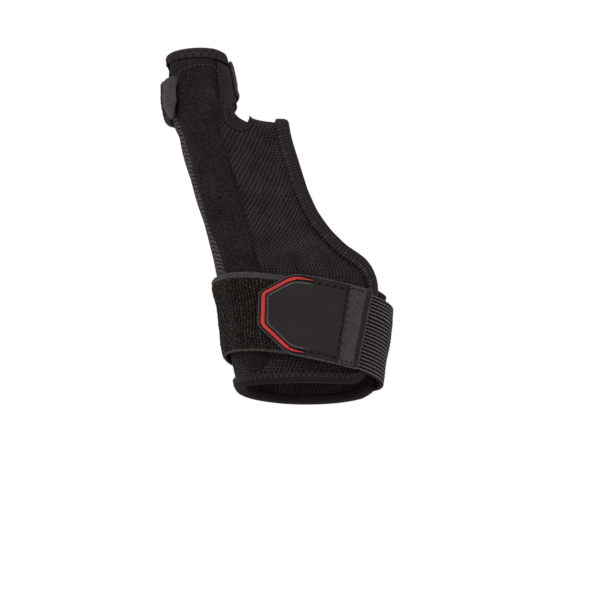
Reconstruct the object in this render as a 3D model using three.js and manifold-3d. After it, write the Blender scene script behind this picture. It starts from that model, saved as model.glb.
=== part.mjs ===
// A thumb spica splint for the right hand, in the shape it has when worn, with the hand left out.
// Millimetres. +Z runs up the forearm to the fingers, +X to the little finger, +Y to the palm.
// The origin is the middle of the wrist opening, half way up the wrist strap.
//
// One smooth closed form, like a mitten with a raised thumb, carries every piece. A place on it is
// given by u, the row from the hem (0) to the top of the thumb sleeve, and by an angle round the row:
// 0 on the little-finger side, half pi on the back of the hand, pi on the thumb side, then the palm.

import * as THREE from "three";
import { mergeVertices } from "three/addons/utils/BufferGeometryUtils.js";
import Module from "manifold-3d";

// Lengths up and down from the strap's centre
const CUFF_DROP = 32.5;
const THUMB_REACH = 142;

// Widths and depths of the outer face of the fabric shell
const WRIST_WIDTH = 82;
const WRIST_DEPTH = 51;
const THUMB_WIDTH = 35.5;
const THUMB_DEPTH = 31;
const THUMB_STAND_OFF = 32.4; // how far the thumb's outer side stands beyond the wrist's
const THUMB_SET_BACK = 4; // how far the thumb's middle lies towards the palm
const PALM_REACH = 0.985; // share of a row that the palm side covers at the wrist
const PALM_HEM_DROP = 4; // how much lower the hem hangs on the palm side

// Fabric and layer thicknesses, and the gap between two layers that touch
const GAP = 0.3;
const LEAF_GAP = 0.62;
const EDGE_GAP = 0.9;
const FACING_GAP = 1.1;
const SHELL_WALL = 2.6;
const BINDING_WALL = 1;
const BINDING_WIDTH = 6.4;
const FACING_WALL = 1;
const HEM_BINDING_WIDTH = 5;
const HOLE_FACING_WIDTH = 3.2;
const POCKET_BORDER = 1.2;
const POCKET_CROWN = 1.7;
const POCKET_SLOPE = 5;
const POCKET_TONGUE_FADE = 9; // its crown rises over this length from the tongue
const POCKET_TOP_FADE = [40, 15]; // and falls between these depths under the sleeve's top
const LOOP_PANEL_WALL = 2;
const ELASTIC_WALL = 1.6;
const TAB_WALL = 1.2;
const PATCH_WALL = 1;
const TRIM_WALL = 1;
const THUMB_STRAP_WALL = 1.7;
const THUMB_TAB_WALL = 1;

// Wrist strap
const STRAP_HEIGHT = 38.4;
const STRAP_LEVEL = -4.2; // height of its middle, as a plane that leans:
const STRAP_SLANT = -0.177; // down towards the little-finger side
const STRAP_TILT = -0.1; // and down towards the palm
const TAB_LENGTH = 46.8;
const TAB_HEIGHT = 39;
const TAB_TIP_X = -21.4;
const TAB_TIP_Z = 2.7;
const TAB_TIP_HEIGHT = 18;
const TAB_CHAMFER = 15;
const TAB_SLANT = -0.2; // rise over run of the tab's middle line
const LOOP_PANEL_END = 19.6; // under the tab, from its tip
const ELASTIC_START = 37.6;
const END_STRIP_WIDTH = 6.6;
const END_STRIP_INSET = 2.8;
const TRIM_WIDTH = 1.5;
const TRIM_INSET = 2.1; // its middle, from the tab's edge
const TRIM_GAP = 0.5;

// Thumb strap
const THUMB_STRAP_HEIGHT = 21.5;
const THUMB_STRAP_LOW = 107.5; // height of its lower edge on the thumb's outer side
const THUMB_STRAP_RISE = 12.5; // how much higher it runs on the side of the fingers
const THUMB_TAB_LENGTH = 20;
const THUMB_TAB_WIDTH = 9.6;
const THUMB_TAB_ANGLE = 2.42; // its middle, round the thumb
const THUMB_TAB_DROP = 2.8; // from the strap's upper edge

// Openings and corners
const CORNER_RADIUS = 9;
const HOLE_X = 1.093 * THUMB_WIDTH - THUMB_STAND_OFF - WRIST_WIDTH / 2;
const HOLE_Z = 0.762 * THUMB_REACH;
const HOLE_HALF_WIDTH = 5.1;
const HOLE_HALF_HEIGHT = 8.2;
const HOLE_TILT = 0.15;
const MOUTH_RIGHT = 1.7; // the hole's mouth, from the oval's middle, where the hole cuts the fold of the web
const MOUTH_UP = 6.2;
const MOUTH_HALF_WIDTH = 3.4;
const MOUTH_HALF_HEIGHT = 4.6;
const TONGUE_RADIUS = 6.4; // round lower end of the stay pocket
const TONGUE_DROP = 25.8; // strap centre down to that end

const COLOURS = {
  mesh: { color: 0x262326, roughness: 0.92 },
  binding: { color: 0x222022, roughness: 0.85 },
  brushed: { color: 0x171516, roughness: 1 },
  loop: { color: 0x1b1918, roughness: 1 },
  elastic: { color: 0x2b2826, roughness: 0.9 },
  vinyl: { color: 0x2b282a, roughness: 0.55 },
  grain: { color: 0x3a383a, roughness: 0.6 },
  trim: { color: 0x9e2a2b, roughness: 0.45 },
};

// Rows of the form, from the hem up. Every value is a share of a named size.
// wrist, lean: the thumb-side edge in half wrist widths and thumb stand-offs
// up: its height, in thumb reaches or, below the strap's centre, in cuff drops
// spanW, spanT: the row's width in wrist widths and thumb widths
// rise: how much higher the far end is, in thumb reaches
// thumb: share of the row that the thumb's round covers, tBack and tPalm: its depths in thumb depths
// hand: share of the row where the hand's round starts, hBack and hPalm: its depths in wrist depths
const COLUMNS = [
  "wrist", "lean", "up", "spanW", "spanT", "rise",
  "thumb", "tBack", "tPalm", "hand", "hBack", "hPalm",
];
const ROWS = [
  [0.825, 0.0, -1.0, 0.82, 0.0, 0.0, 0.6, 0.0, 0.0, 0.0, 0.48, 0.48], // hem
  [0.895, 0.0, -0.62, 0.882, 0.0, 0.0, 0.6, 0.0, 0.0, 0.0, 0.49, 0.49],
  [0.96, 0.0, -0.3, 0.936, 0.0, 0.0, 0.6, 0.0, 0.0, 0.0, 0.497, 0.5],
  [0.978, 0.0, 0.0, 0.967, 0.0, 0.0, 0.6, 0.1, 0.1, 0.0, 0.502, 0.51], // strap centre
  [1.0, 0.08, 0.127, 1.03, 0.0, -0.007, 0.62, 0.58, 0.7, 0.0, 0.5, 0.52], // strap top
  [1.0, 0.2, 0.25, 1.19, 0.0, 0.032, 0.55, 0.65, 0.87, 0.05, 0.46, 0.47],
  [1.0, 0.333, 0.36, 1.326, 0.0, 0.077, 0.48, 0.66, 0.87, 0.12, 0.412, 0.43],
  [1.0, 0.5, 0.479, 1.405, 0.0, 0.113, 0.4, 0.645, 0.81, 0.2, 0.363, 0.373],
  [1.0, 0.623, 0.577, 0.8, 1.0, 0.127, 0.42, 0.613, 0.742, 0.25, 0.314, 0.324],
  [1.0, 0.71, 0.648, 0.45, 1.0, 0.084, 0.54, 0.58, 0.694, 0.3, 0.275, 0.275],
  [1.0, 0.77, 0.697, 0.256, 1.0, 0.041, 0.66, 0.55, 0.63, 0.35, 0.225, 0.225], // web, outer end
  [1.0, 0.846, 0.739, 0.108, 0.99, 0.019, 0.8, 0.532, 0.58, 0.45, 0.167, 0.167],
  [1.0, 0.895, 0.785, 0.008, 0.985, 0.009, 0.99, 0.506, 0.522, 0.6, 0.078, 0.078], // crotch
  [1.0, 0.938, 0.838, 0.0, 0.907, 0.022, 1.0, 0.475, 0.475, 0.6, 0.0, 0.0],
  [1.0, 0.949, 0.908, 0.0, 0.883, 0.018, 1.0, 0.45, 0.44, 0.6, 0.0, 0.0],
  [1.0, 0.928, 0.999, 0.0, 0.77, 0.01, 1.0, 0.4, 0.39, 0.6, 0.0, 0.0], // top of the sleeve
];

// Free edges of the shell, seen from the front: height in thumb reaches, place in half wrist widths
const BACK_EDGE = [
  [-0.25, 0.7], [-0.14, 0.72], [0.0, 0.8], [0.1, 0.84], [0.155, 0.81], [0.204, 0.7],
  [0.251, 0.466], [0.308, 0.276], [0.376, 0.12], [0.459, 0.0], [0.569, -0.11],
  [0.676, -0.207], [0.8, -0.24],
];
const PALM_EDGE = [
  [-0.25, 0.84], [-0.14, 1.0], [0.0, 1.06], [0.07, 1.05], [0.115, 0.98], [0.157, 0.84],
  [0.21, 0.6], [0.28, 0.33], [0.37, 0.1], [0.459, -0.04], [0.569, -0.14],
  [0.676, -0.212], [0.8, -0.24],
];

// Stay pocket: height in thumb reaches, its thumb-side edge in half wrist widths and thumb
// stand-offs, as for the rows, and its width in thumb widths
const POCKET = [
  [-0.182, 0.754, 0.0, 0.36], [-0.07, 0.79, 0.0, 0.38], [0.0, 0.83, 0.0, 0.41],
  [0.172, 0.885, 0.108, 0.473], [0.24, 0.9, 0.185, 0.49], [0.333, 0.92, 0.32, 0.54],
  [0.415, 0.93, 0.42, 0.547], [0.5, 0.94, 0.515, 0.557], [0.57, 0.95, 0.585, 0.538],
  [0.65, 0.97, 0.655, 0.53], [0.71, 0.97, 0.74, 0.56], [0.76, 0.98, 0.81, 0.632],
  [0.83, 1.0, 0.9, 0.705], [0.9, 1.0, 0.917, 0.685], [0.985, 1.0, 0.902, 0.65],
];

const wasm = await Module();
wasm.setup();

const clamp = (v, low, high) => Math.min(high, Math.max(low, v));
const mix = (a, b, t) => a + (b - a) * t;
const ease = (from, to, v) => {
  const t = clamp((v - from) / (to - from), 0, 1);
  return t * t * (3 - 2 * t);
};

// A smooth curve through equally spaced values, read at any place between the first and the last
function spline(values, at) {
  const last = values.length - 1;
  const i = clamp(Math.floor(at), 0, last - 1);
  const t = clamp(at, 0, last) - i;
  const p0 = values[Math.max(i - 1, 0)];
  const p1 = values[i];
  const p2 = values[i + 1];
  const p3 = values[Math.min(i + 2, last)];
  return p1 + 0.5 * t * (p2 - p0 + t * (2 * p0 - 5 * p1 + 4 * p2 - p3 + t * (3 * (p1 - p2) + p3 - p0)));
}

// The same through a table whose first column holds unequal places
function tableSpline(table, column, place) {
  const last = table.length - 1;
  const key = clamp(place, table[0][0], table[last][0]);
  let i = 0;
  while (i < last - 1 && key > table[i + 1][0]) i++;
  const t = (key - table[i][0]) / (table[i + 1][0] - table[i][0]);
  return spline(table.map((row) => row[column]), i + t);
}

const COLUMN_VALUES = Object.fromEntries(
  COLUMNS.map((name, column) => [name, ROWS.map((row) => row[column])]),
);
const TOP_ROW = ROWS.length - 1;
const ROUND_POWER = 6; // how sharply the thumb's round meets the hand's
const ROUND_FULLNESS = 0.86; // below 1 a round is a little boxier than an ellipse

// The row at u: its thumb-side end, its far end and the depths of its rounds
function rowAt(u) {
  const share = (name) => spline(COLUMN_VALUES[name], u);
  const up = share("up");
  const x = -share("wrist") * (WRIST_WIDTH / 2) - share("lean") * THUMB_STAND_OFF;
  const z = up > 0 ? up * THUMB_REACH : up * CUFF_DROP;
  const width = share("spanW") * WRIST_WIDTH + share("spanT") * THUMB_WIDTH;
  return { x, z, width, rise: share("rise") * THUMB_REACH, share };
}

function round(t, from, to) {
  const off = (2 * t - from - to) / (to - from);
  return Math.pow(Math.max(0, 1 - off * off), ROUND_FULLNESS / 2);
}

// A point of the form's outer face
function formPoint(u, angle) {
  const row = rowAt(u);
  const t = (1 + Math.cos(angle)) / 2;
  const back = Math.sin(angle) >= 0;
  const thumb = round(t, 0, row.share("thumb")) * THUMB_DEPTH * row.share(back ? "tBack" : "tPalm");
  const hand = round(t, row.share("hand"), 1) * WRIST_DEPTH * row.share(back ? "hBack" : "hPalm");
  const depth = Math.pow(Math.pow(thumb, ROUND_POWER) + Math.pow(hand, ROUND_POWER), 1 / ROUND_POWER);
  const middle = THUMB_SET_BACK * ease(0, TOP_ROW, u);
  const low = PALM_HEM_DROP * (1 - ease(0, 3, u)) * Math.max(0, -Math.sin(angle));
  return new THREE.Vector3(
    row.x + row.width * t,
    middle + (back ? -depth : depth),
    row.z + row.rise * t - low,
  );
}

const STEP = 2e-3;

function formNormal(u, angle) {
  const along = formPoint(Math.min(u + STEP, TOP_ROW), angle).sub(formPoint(Math.max(u - STEP, 0), angle));
  const round = formPoint(u, angle + STEP).sub(formPoint(u, angle - STEP));
  return along.cross(round).normalize();
}

// The point at a height over the form's outer face, below it where the height is negative
function over(u, angle, height) {
  return formPoint(u, angle).addScaledVector(formNormal(u, angle), height);
}

// The place on the back of the form that the front view shows at x, z
function placeAt(x, z) {
  let low = 0;
  let high = TOP_ROW;
  for (let i = 0; i < 40; i++) {
    const u = (low + high) / 2;
    const row = rowAt(u);
    const above = z - row.z - (row.rise / row.width) * (x - row.x);
    if (above > 0) low = u;
    else high = u;
  }
  const row = rowAt(low);
  const t = clamp((x - row.x) / row.width, 0, 1);
  return { u: low, angle: Math.acos(2 * t - 1) };
}

// The row where the form has a height z at an angle
function rowForHeight(z, angle) {
  let low = 0;
  let high = TOP_ROW;
  for (let i = 0; i < 40; i++) {
    const u = (low + high) / 2;
    if (formPoint(u, angle).z < z) low = u;
    else high = u;
  }
  return low;
}

// The place on the form that is nearest to a point, starting from a place near it
function nearest(point, start) {
  let { u, angle } = start;
  for (let i = 0; i < 12; i++) {
    const here = formPoint(u, angle);
    const du = formPoint(Math.min(u + STEP, TOP_ROW), angle).sub(formPoint(Math.max(u - STEP, 0), angle));
    du.divideScalar(Math.min(u + STEP, TOP_ROW) - Math.max(u - STEP, 0));
    const da = formPoint(u, angle + STEP).sub(formPoint(u, angle - STEP)).divideScalar(2 * STEP);
    const off = point.clone().sub(here);
    const a = du.dot(du);
    const b = du.dot(da);
    const c = da.dot(da);
    const det = a * c - b * b;
    if (Math.abs(det) < 1e-9) break;
    const stepU = (c * off.dot(du) - b * off.dot(da)) / det;
    const stepA = (a * off.dot(da) - b * off.dot(du)) / det;
    u = clamp(u + clamp(stepU, -0.5, 0.5), 0, TOP_ROW);
    angle += clamp(stepA, -0.3, 0.3);
  }
  return { u, angle };
}

// The angle where the shell's sheet ends in a row, on the back or on the palm side. 0 is a closed row.
function edgeAngle(u, onBack) {
  const table = onBack ? BACK_EDGE : PALM_EDGE;
  const edgeX = (z) => tableSpline(table, 1, z / THUMB_REACH) * (WRIST_WIDTH / 2);
  const row = rowAt(u);
  const beyond = (t) => {
    const z = row.z + row.rise * t;
    const overHem = clamp(z + CUFF_DROP, 0, CORNER_RADIUS);
    const corner = CORNER_RADIUS - Math.sqrt(CORNER_RADIUS ** 2 - (CORNER_RADIUS - overHem) ** 2);
    return row.x + row.width * t > edgeX(z) - corner;
  };
  const most = onBack ? 1 : mix(PALM_REACH, 1, ease(0.2, 0.5, (row.z + row.rise) / THUMB_REACH));
  if (!beyond(most)) return Math.acos(2 * most - 1);
  let low = 0;
  let high = most;
  for (let i = 0; i < 40; i++) {
    const t = (low + high) / 2;
    if (beyond(t)) high = t;
    else low = t;
  }
  return Math.acos(2 * low - 1);
}

// The row where the sheet closes over the web between thumb and forefinger
function closingRow() {
  let low = TOP_ROW / 2;
  let high = TOP_ROW;
  for (let i = 0; i < 40; i++) {
    const u = (low + high) / 2;
    if (edgeAngle(u, true) > 0) low = u;
    else high = u;
  }
  return high;
}

// A closed geometry from points and faces, turned so that its faces point out
function closedGeometry(points, faces) {
  let volume = 0;
  for (const [a, b, c] of faces) {
    volume += points[a].dot(new THREE.Vector3().crossVectors(points[b], points[c]));
  }
  const turned = volume < 0 ? faces.map(([a, b, c]) => [a, c, b]) : faces;
  const geometry = new THREE.BufferGeometry();
  geometry.setAttribute(
    "position",
    new THREE.Float32BufferAttribute(points.flatMap((p) => [p.x, p.y, p.z]), 3),
  );
  geometry.setIndex(turned.flat());
  return geometry;
}

// Joins rings of points that all follow one flat profile. The ends are capped, with the triangles
// given or with the profile's own, or the last ring joins the first.
function loft(rings, profile, closed = false, ends = null) {
  const size = profile.length;
  const faces = [];
  const count = closed ? rings.length : rings.length - 1;
  for (let i = 0; i < count; i++) {
    const a = i * size;
    const b = ((i + 1) % rings.length) * size;
    for (let j = 0; j < size; j++) {
      const k = (j + 1) % size;
      faces.push([a + j, a + k, b + k], [a + j, b + k, b + j]);
    }
  }
  if (!closed) {
    const outline = profile.map(([x, y]) => new THREE.Vector2(x, y));
    const cap = ends ?? THREE.ShapeUtils.triangulateShape(outline, []);
    const end = (rings.length - 1) * size;
    // The cap's turn is matched to the sides by the profile's own turn
    const flip = THREE.ShapeUtils.area(outline) < 0;
    for (const [p, q, r] of cap) {
      const [s, t] = flip ? [q, r] : [r, q];
      faces.push([p, s, t], [end + p, end + t, end + s]);
    }
  }
  return closedGeometry(rings.flat(), faces);
}

// A sheet of cloth over a grid of places: at(i, j) gives the place and its lower and upper heights
function panel(rows, columns, at) {
  const across = [...Array(columns + 1).keys()];
  const profile = [...across.map((j) => [j, 0]), ...across.map((j) => [columns - j, 1])];
  const rings = [...Array(rows + 1).keys()].map((i) => {
    const places = across.map((j) => at(i / rows, j / columns, i, j));
    return [
      ...places.map((p) => over(p.u, p.angle, p.low)),
      ...places.map((p) => over(p.u, p.angle, p.high)).reverse(),
    ];
  });
  const far = profile.length - 1;
  const ends = across.slice(0, -1).flatMap((j) => [[j, j + 1, far - j - 1], [j, far - j - 1, far - j]]);
  return loft(rings, profile, false, ends);
}

// Outer leaf, nose and inner leaf of a binding folded round the shell's edge: distance in from the
// edge, height over the outer face
const LEAF_IN = -SHELL_WALL - LEAF_GAP;
const INNER_SHARE = 0.7;

function bindingProfile(width) {
  return [
    [width, LEAF_GAP],
    [width, LEAF_GAP + BINDING_WALL],
    [BINDING_WALL, LEAF_GAP + BINDING_WALL],
    [0, LEAF_GAP],
    [0, LEAF_IN],
    [BINDING_WALL, LEAF_IN - BINDING_WALL],
    [width * INNER_SHARE, LEAF_IN - BINDING_WALL],
    [width * INNER_SHARE, LEAF_IN],
    [BINDING_WALL, LEAF_IN],
    [BINDING_WALL, LEAF_GAP],
  ];
}

// For a run of places on the form, a function that gives the place at a distance to the run's left
function beside(places) {
  const points = places.map((p) => formPoint(p.u, p.angle));
  return (i, distance) => {
    const along = points[Math.min(i + 1, points.length - 1)].clone().sub(points[Math.max(i - 1, 0)]);
    const left = new THREE.Vector3().crossVectors(formNormal(places[i].u, places[i].angle), along);
    return nearest(points[i].clone().addScaledVector(left.normalize(), distance), places[i]);
  };
}

// Sweeps a profile of distances to the left and heights along places on the form
function sweep(places, profile) {
  const spotAt = beside(places);
  const rings = places.map((place, i) =>
    profile.map(([distance, height]) => {
      const spot = spotAt(i, distance);
      return over(spot.u, spot.angle, height);
    }),
  );
  return loft(rings, profile);
}

// Evenly spaced places along a run of places, measured on the form
function evenly(places, spacing) {
  const points = places.map((p) => formPoint(p.u, p.angle));
  const run = [0];
  for (let i = 1; i < points.length; i++) run.push(run[i - 1] + points[i].distanceTo(points[i - 1]));
  const total = run[run.length - 1];
  const count = Math.max(2, Math.round(total / spacing));
  const even = [];
  let k = 0;
  for (let i = 0; i <= count; i++) {
    const target = (total * i) / count;
    while (k < run.length - 2 && run[k + 1] < target) k++;
    const t = (target - run[k]) / Math.max(run[k + 1] - run[k], 1e-9);
    even.push({
      u: mix(places[k].u, places[k + 1].u, t),
      angle: mix(places[k].angle, places[k + 1].angle, t),
    });
  }
  return even;
}

function solidOf(geometry) {
  const position = geometry.getAttribute("position").array;
  return new wasm.Manifold(
    new wasm.Mesh({
      numProp: 3,
      vertProperties: new Float32Array(position),
      triVerts: new Uint32Array(geometry.index.array),
    }),
  );
}

function geometryOf(solid) {
  const mesh = solid.getMesh();
  const count = mesh.vertProperties.length / mesh.numProp;
  const position = new Float32Array(count * 3);
  for (let i = 0; i < count; i++) {
    position.set(mesh.vertProperties.subarray(i * mesh.numProp, i * mesh.numProp + 3), i * 3);
  }
  const geometry = new THREE.BufferGeometry();
  geometry.setAttribute("position", new THREE.BufferAttribute(position, 3));
  geometry.setIndex(new THREE.BufferAttribute(mesh.triVerts, 1));
  return geometry;
}

// An oval prism along Y
function ovalPrism(x, z, halfWidth, halfHeight) {
  const depth = 2 * WRIST_DEPTH;
  const shape = new THREE.Shape();
  shape.absellipse(0, 0, halfWidth, halfHeight, 0, 2 * Math.PI, false, HOLE_TILT);
  const geometry = new THREE.ExtrudeGeometry(shape, { depth, bevelEnabled: false, curveSegments: 9 });
  geometry.rotateX(Math.PI / 2).translate(x, depth / 2, z);
  geometry.deleteAttribute("normal");
  geometry.deleteAttribute("uv");
  return solidOf(mergeVertices(geometry, 1e-3));
}

// The hole through the crotch of the thumb and its mouth, grown by a margin
function holePrism(margin) {
  const hole = ovalPrism(HOLE_X, HOLE_Z, HOLE_HALF_WIDTH + margin, HOLE_HALF_HEIGHT + margin);
  const [x, z] = [HOLE_X + MOUTH_RIGHT, HOLE_Z + MOUTH_UP];
  return hole.add(ovalPrism(x, z, MOUTH_HALF_WIDTH + margin, MOUTH_HALF_HEIGHT + margin));
}

// The shell's own edge lies inside its bindings, a little in from the free edge
function shellEdge() {
  const { back, palm } = freeEdge();
  const run = evenly([...back, ...palm], 1.5);
  const spotAt = beside(run);
  const inset = run.map((place, i) => spotAt(i, BINDING_WALL + EDGE_GAP));
  const onBack = inset.filter((p) => p.angle > 0);
  const onPalm = inset.filter((p) => p.angle <= 0).reverse();
  const angleAt = (side, u) => {
    if (u <= side[0].u) return side[0].angle;
    const i = side.findIndex((p, k) => k > 0 && p.u >= u && side[k - 1].u < u);
    if (i < 1) return 0;
    const t = (u - side[i - 1].u) / (side[i].u - side[i - 1].u);
    return mix(side[i - 1].angle, side[i].angle, t);
  };
  const closing = Math.max(...inset.map((p) => p.u));
  return { closing, from: (u) => angleAt(onBack, u), to: (u) => 2 * Math.PI + angleAt(onPalm, u) };
}

const HEM_ROWS = [0, 0.07, 0.22, 0.48];
const WRIST_ROWS = [0.85, 1.4, 2, 2.6, 3.1, 3.6, 4, 4.25, 4.5, 4.75, 5, 5.3, 5.7, 6.3, 6.9, 7.6, 8.4, 9.1];
const THUMB_ROWS = 8;

// The open sheet of spacer mesh: a C round the wrist and hand, closed above the web, with its hole
function fabricShell() {
  const columns = 30;
  const edge = shellEdge();
  const hem = rowForHeight(-CUFF_DROP + BINDING_WALL + LEAF_GAP, Math.PI);
  const openRows = [...HEM_ROWS.map((u) => u + hem), ...WRIST_ROWS, mix(9.1, edge.closing, 0.45), mix(9.1, edge.closing, 0.8)];
  const rows = [...openRows];
  for (let i = 0; i <= THUMB_ROWS; i++) rows.push(mix(edge.closing, SLEEVE_TOP, i / THUMB_ROWS));
  const last = rows.length - 1;
  const open = rows.map((u, i) => i < openRows.length);
  const points = [];
  const place = (i, j, inner = 0) => (i * (columns + 1) + (open[i] ? j : j % columns)) * 2 + inner;
  rows.forEach((u, i) => {
    const from = open[i] ? edge.from(u) : 0;
    const to = open[i] ? edge.to(u) : 2 * Math.PI;
    for (let j = 0; j <= columns; j++) {
      const angle = mix(from, to, j / columns);
      points.push(over(u, angle, 0), over(u, angle, -SHELL_WALL));
    }
  });
  const faces = [];
  const quad = (a, b, c, d) => faces.push([a, b, c], [a, c, d]);
  for (let i = 0; i < last; i++) {
    for (let j = 0; j < columns; j++) {
      quad(place(i, j), place(i, j + 1), place(i + 1, j + 1), place(i + 1, j));
      quad(place(i, j, 1), place(i + 1, j, 1), place(i + 1, j + 1, 1), place(i, j + 1, 1));
    }
    if (open[i]) {
      quad(place(i, 0, 1), place(i, 0), place(i + 1, 0), place(i + 1, 0, 1));
      quad(place(i, columns), place(i, columns, 1), place(i + 1, columns, 1), place(i + 1, columns));
    }
  }
  for (let j = 0; j < columns; j++) {
    quad(place(0, j + 1), place(0, j), place(0, j, 1), place(0, j + 1, 1));
    quad(place(last, j), place(last, j + 1), place(last, j + 1, 1), place(last, j, 1));
  }
  const used = [...new Set(faces.flat())].sort((a, b) => a - b);
  const renamed = new Map(used.map((old, i) => [old, i]));
  const sheet = closedGeometry(
    used.map((i) => points[i]),
    faces.map((face) => face.map((i) => renamed.get(i))),
  );
  return geometryOf(solidOf(sheet).subtract(holePrism(0)));
}

// The shell and the pocket end a little under the sleeve's rim
const SLEEVE_END = formPoint(TOP_ROW, Math.PI).z;
const RIM_LOW = rowForHeight(SLEEVE_END - BINDING_WALL, Math.PI);
const SLEEVE_TOP = rowForHeight(SLEEVE_END - BINDING_WALL - GAP, Math.PI);

// The sheet's whole free edge: up the back of the hand, over the web, down the palm side, and back
// along the hem
function freeEdge() {
  const closing = closingRow();
  const steps = 160;
  const back = [];
  const palm = [];
  for (let i = 0; i <= steps; i++) {
    const s = i / steps;
    const u = closing * (s < 0.5 ? 2 * s * s : 1 - 2 * (1 - s) ** 2);
    back.push({ u, angle: edgeAngle(u, true) });
    palm.push({ u, angle: -edgeAngle(u, false) });
  }
  const hem = [];
  const from = palm[0].angle;
  const to = back[0].angle - 2 * Math.PI;
  for (let i = 1; i < steps; i++) hem.push({ u: 0, angle: mix(from, to, i / steps) });
  return { back, palm: palm.reverse(), hem };
}

// Where the hand edge's binding meets the hem's, under the strap
const BINDING_JOINT_ROW = 2.6;

function handEdgeRun() {
  const { back, palm } = freeEdge();
  const run = [...back, ...palm].filter((p) => p.u > BINDING_JOINT_ROW);
  return evenly(run, 4.6);
}

function hemRun() {
  const { back, palm, hem } = freeEdge();
  const limit = BINDING_JOINT_ROW - 0.05;
  const turned = (p) => ({ u: p.u, angle: p.angle - 2 * Math.PI });
  const run = [...palm.filter((p) => p.u < limit), ...hem, ...back.filter((p) => p.u < limit).map(turned)];
  return evenly(run, 4.6);
}

// Facing round the oval hole, on the back and on the palm side of the thumb's crotch
function holeFacing() {
  const [rows, columns] = [13, 26];
  const low = rowForHeight(HOLE_Z - HOLE_HALF_HEIGHT - 2 * HOLE_FACING_WIDTH, 0);
  const rings = [...Array(columns).keys()].map((j) => {
    const angle = (2 * Math.PI * j) / columns;
    const us = [...Array(rows + 1).keys()].map((i) => mix(low, SLEEVE_TOP, i / rows));
    return [
      ...us.map((u) => over(u, angle, FACING_GAP)),
      ...us.reverse().map((u) => over(u, angle, FACING_GAP + FACING_WALL)),
    ];
  });
  const profile = [...Array(2 * rows + 2).keys()].map((i) => (i <= rows ? [i, 0] : [2 * rows + 1 - i, 1]));
  const layer = solidOf(loft(rings, profile, true));
  return geometryOf(layer.intersect(holePrism(HOLE_FACING_WIDTH)).subtract(holePrism(0)));
}

// Ring that finishes the top of the thumb sleeve, over the shell and the pocket
function sleeveRim() {
  const columns = 36;
  const low = RIM_LOW;
  const heights = [LEAF_GAP + BINDING_WALL, LEAF_IN];
  const rings = [...Array(columns).keys()].map((j) => {
    const angle = (2 * Math.PI * j) / columns;
    return [
      over(low, angle, heights[0]),
      over(TOP_ROW, angle, heights[0] - 0.4),
      over(TOP_ROW, angle, heights[1] + 0.4),
      over(low, angle, heights[1]),
    ];
  });
  return loft(rings, [[0, 0], [0, 1], [1, 1], [1, 0]], true);
}

// The pocket's two sides at a height, seen from the front
function pocketSides(z) {
  const place = z / THUMB_REACH;
  const read = (column) => tableSpline(POCKET, column, place);
  const left = -read(1) * (WRIST_WIDTH / 2) - read(2) * THUMB_STAND_OFF;
  return [left, left + read(3) * THUMB_WIDTH];
}

// Height of the pocket's outer face over the shell, at a distance in from its nearer side
function pocketTop(z, inside) {
  const low = -TONGUE_DROP;
  const top = SLEEVE_END;
  const [from, to] = POCKET_TOP_FADE;
  const fade = ease(0, POCKET_TONGUE_FADE, z - low) * mix(1, 0.35, ease(top - from, top - to, z));
  return LEAF_GAP + POCKET_BORDER + POCKET_CROWN * ease(0, POCKET_SLOPE, inside) * fade;
}

// Height of a strap's underside over the shell: clear of the bindings, and of the pocket where it is
function strapBase(u, angle) {
  const overBinding = LEAF_GAP + BINDING_WALL + GAP;
  if (Math.sin(angle) < 0) return overBinding;
  const point = formPoint(u, angle);
  const [left, right] = pocketSides(point.z);
  const inside = Math.min(point.x - left, right - point.x);
  const over = pocketTop(Math.max(point.z, 0), inside + POCKET_SLOPE / 2) + GAP;
  return mix(overBinding, over, ease(-POCKET_SLOPE, 0, inside));
}

// The wrist strap's place at an angle round the wrist, at a distance over its middle line
function strapPlace(angle, distance) {
  const near = formPoint(3, angle);
  const z = STRAP_LEVEL + STRAP_SLANT * near.x + STRAP_TILT * near.y + distance;
  return { u: rowForHeight(z, angle), angle };
}

function strapBand(from, to, segments, columns, wall) {
  return panel(segments, columns, (s, t) => {
    const place = strapPlace(mix(from, to, s), (t - 0.5) * STRAP_HEIGHT);
    const low = strapBase(place.u, place.angle);
    return { ...place, low, high: low + wall };
  });
}

function stayPocket() {
  const low = -TONGUE_DROP;
  const topU = SLEEVE_TOP;
  const top = rowAt(topU).z;
  return panel(26, 8, (s, t) => {
    const up = s < 0.2 ? TONGUE_RADIUS * (1 - Math.cos((s / 0.2) * (Math.PI / 2))) : 0;
    const z = s < 0.2 ? low + 0.15 + up : mix(low + TONGUE_RADIUS, top, (s - 0.2) / 0.8);
    const [left, right] = pocketSides(Math.max(z, low + TONGUE_RADIUS));
    const drop = clamp((low + TONGUE_RADIUS - z) / TONGUE_RADIUS, 0, 1);
    const half = ((right - left) / 2) * Math.max(Math.sqrt(1 - drop * drop), 0.25);
    const x = mix((left + right) / 2 - half, (left + right) / 2 + half, t);
    const place = placeAt(x, z);
    place.u = Math.min(place.u, topU);
    const inside = Math.min(t, 1 - t) * 2 * half;
    return { ...place, low: LEAF_GAP, high: pocketTop(z, inside) };
  });
}

// Half the tab's height at a distance from its tip
function tabHalf(along) {
  return mix(TAB_TIP_HEIGHT, TAB_HEIGHT, Math.sin(clamp(along / TAB_CHAMFER, 0, 1) * (Math.PI / 2))) / 2;
}

// A place on the tab. Its tip is upright and its far end is square to its slant.
function tabPlace(along, across) {
  const lean = -TAB_SLANT * across * (along / TAB_LENGTH);
  return placeAt(TAB_TIP_X + along + lean, TAB_TIP_Z + along * TAB_SLANT + across);
}

// The tab lies level over the loop panel and the pocket, and comes down where neither is under it
function tabBase(place) {
  return strapBase(place.u, place.angle) + LOOP_PANEL_WALL + 2 * GAP;
}

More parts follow.
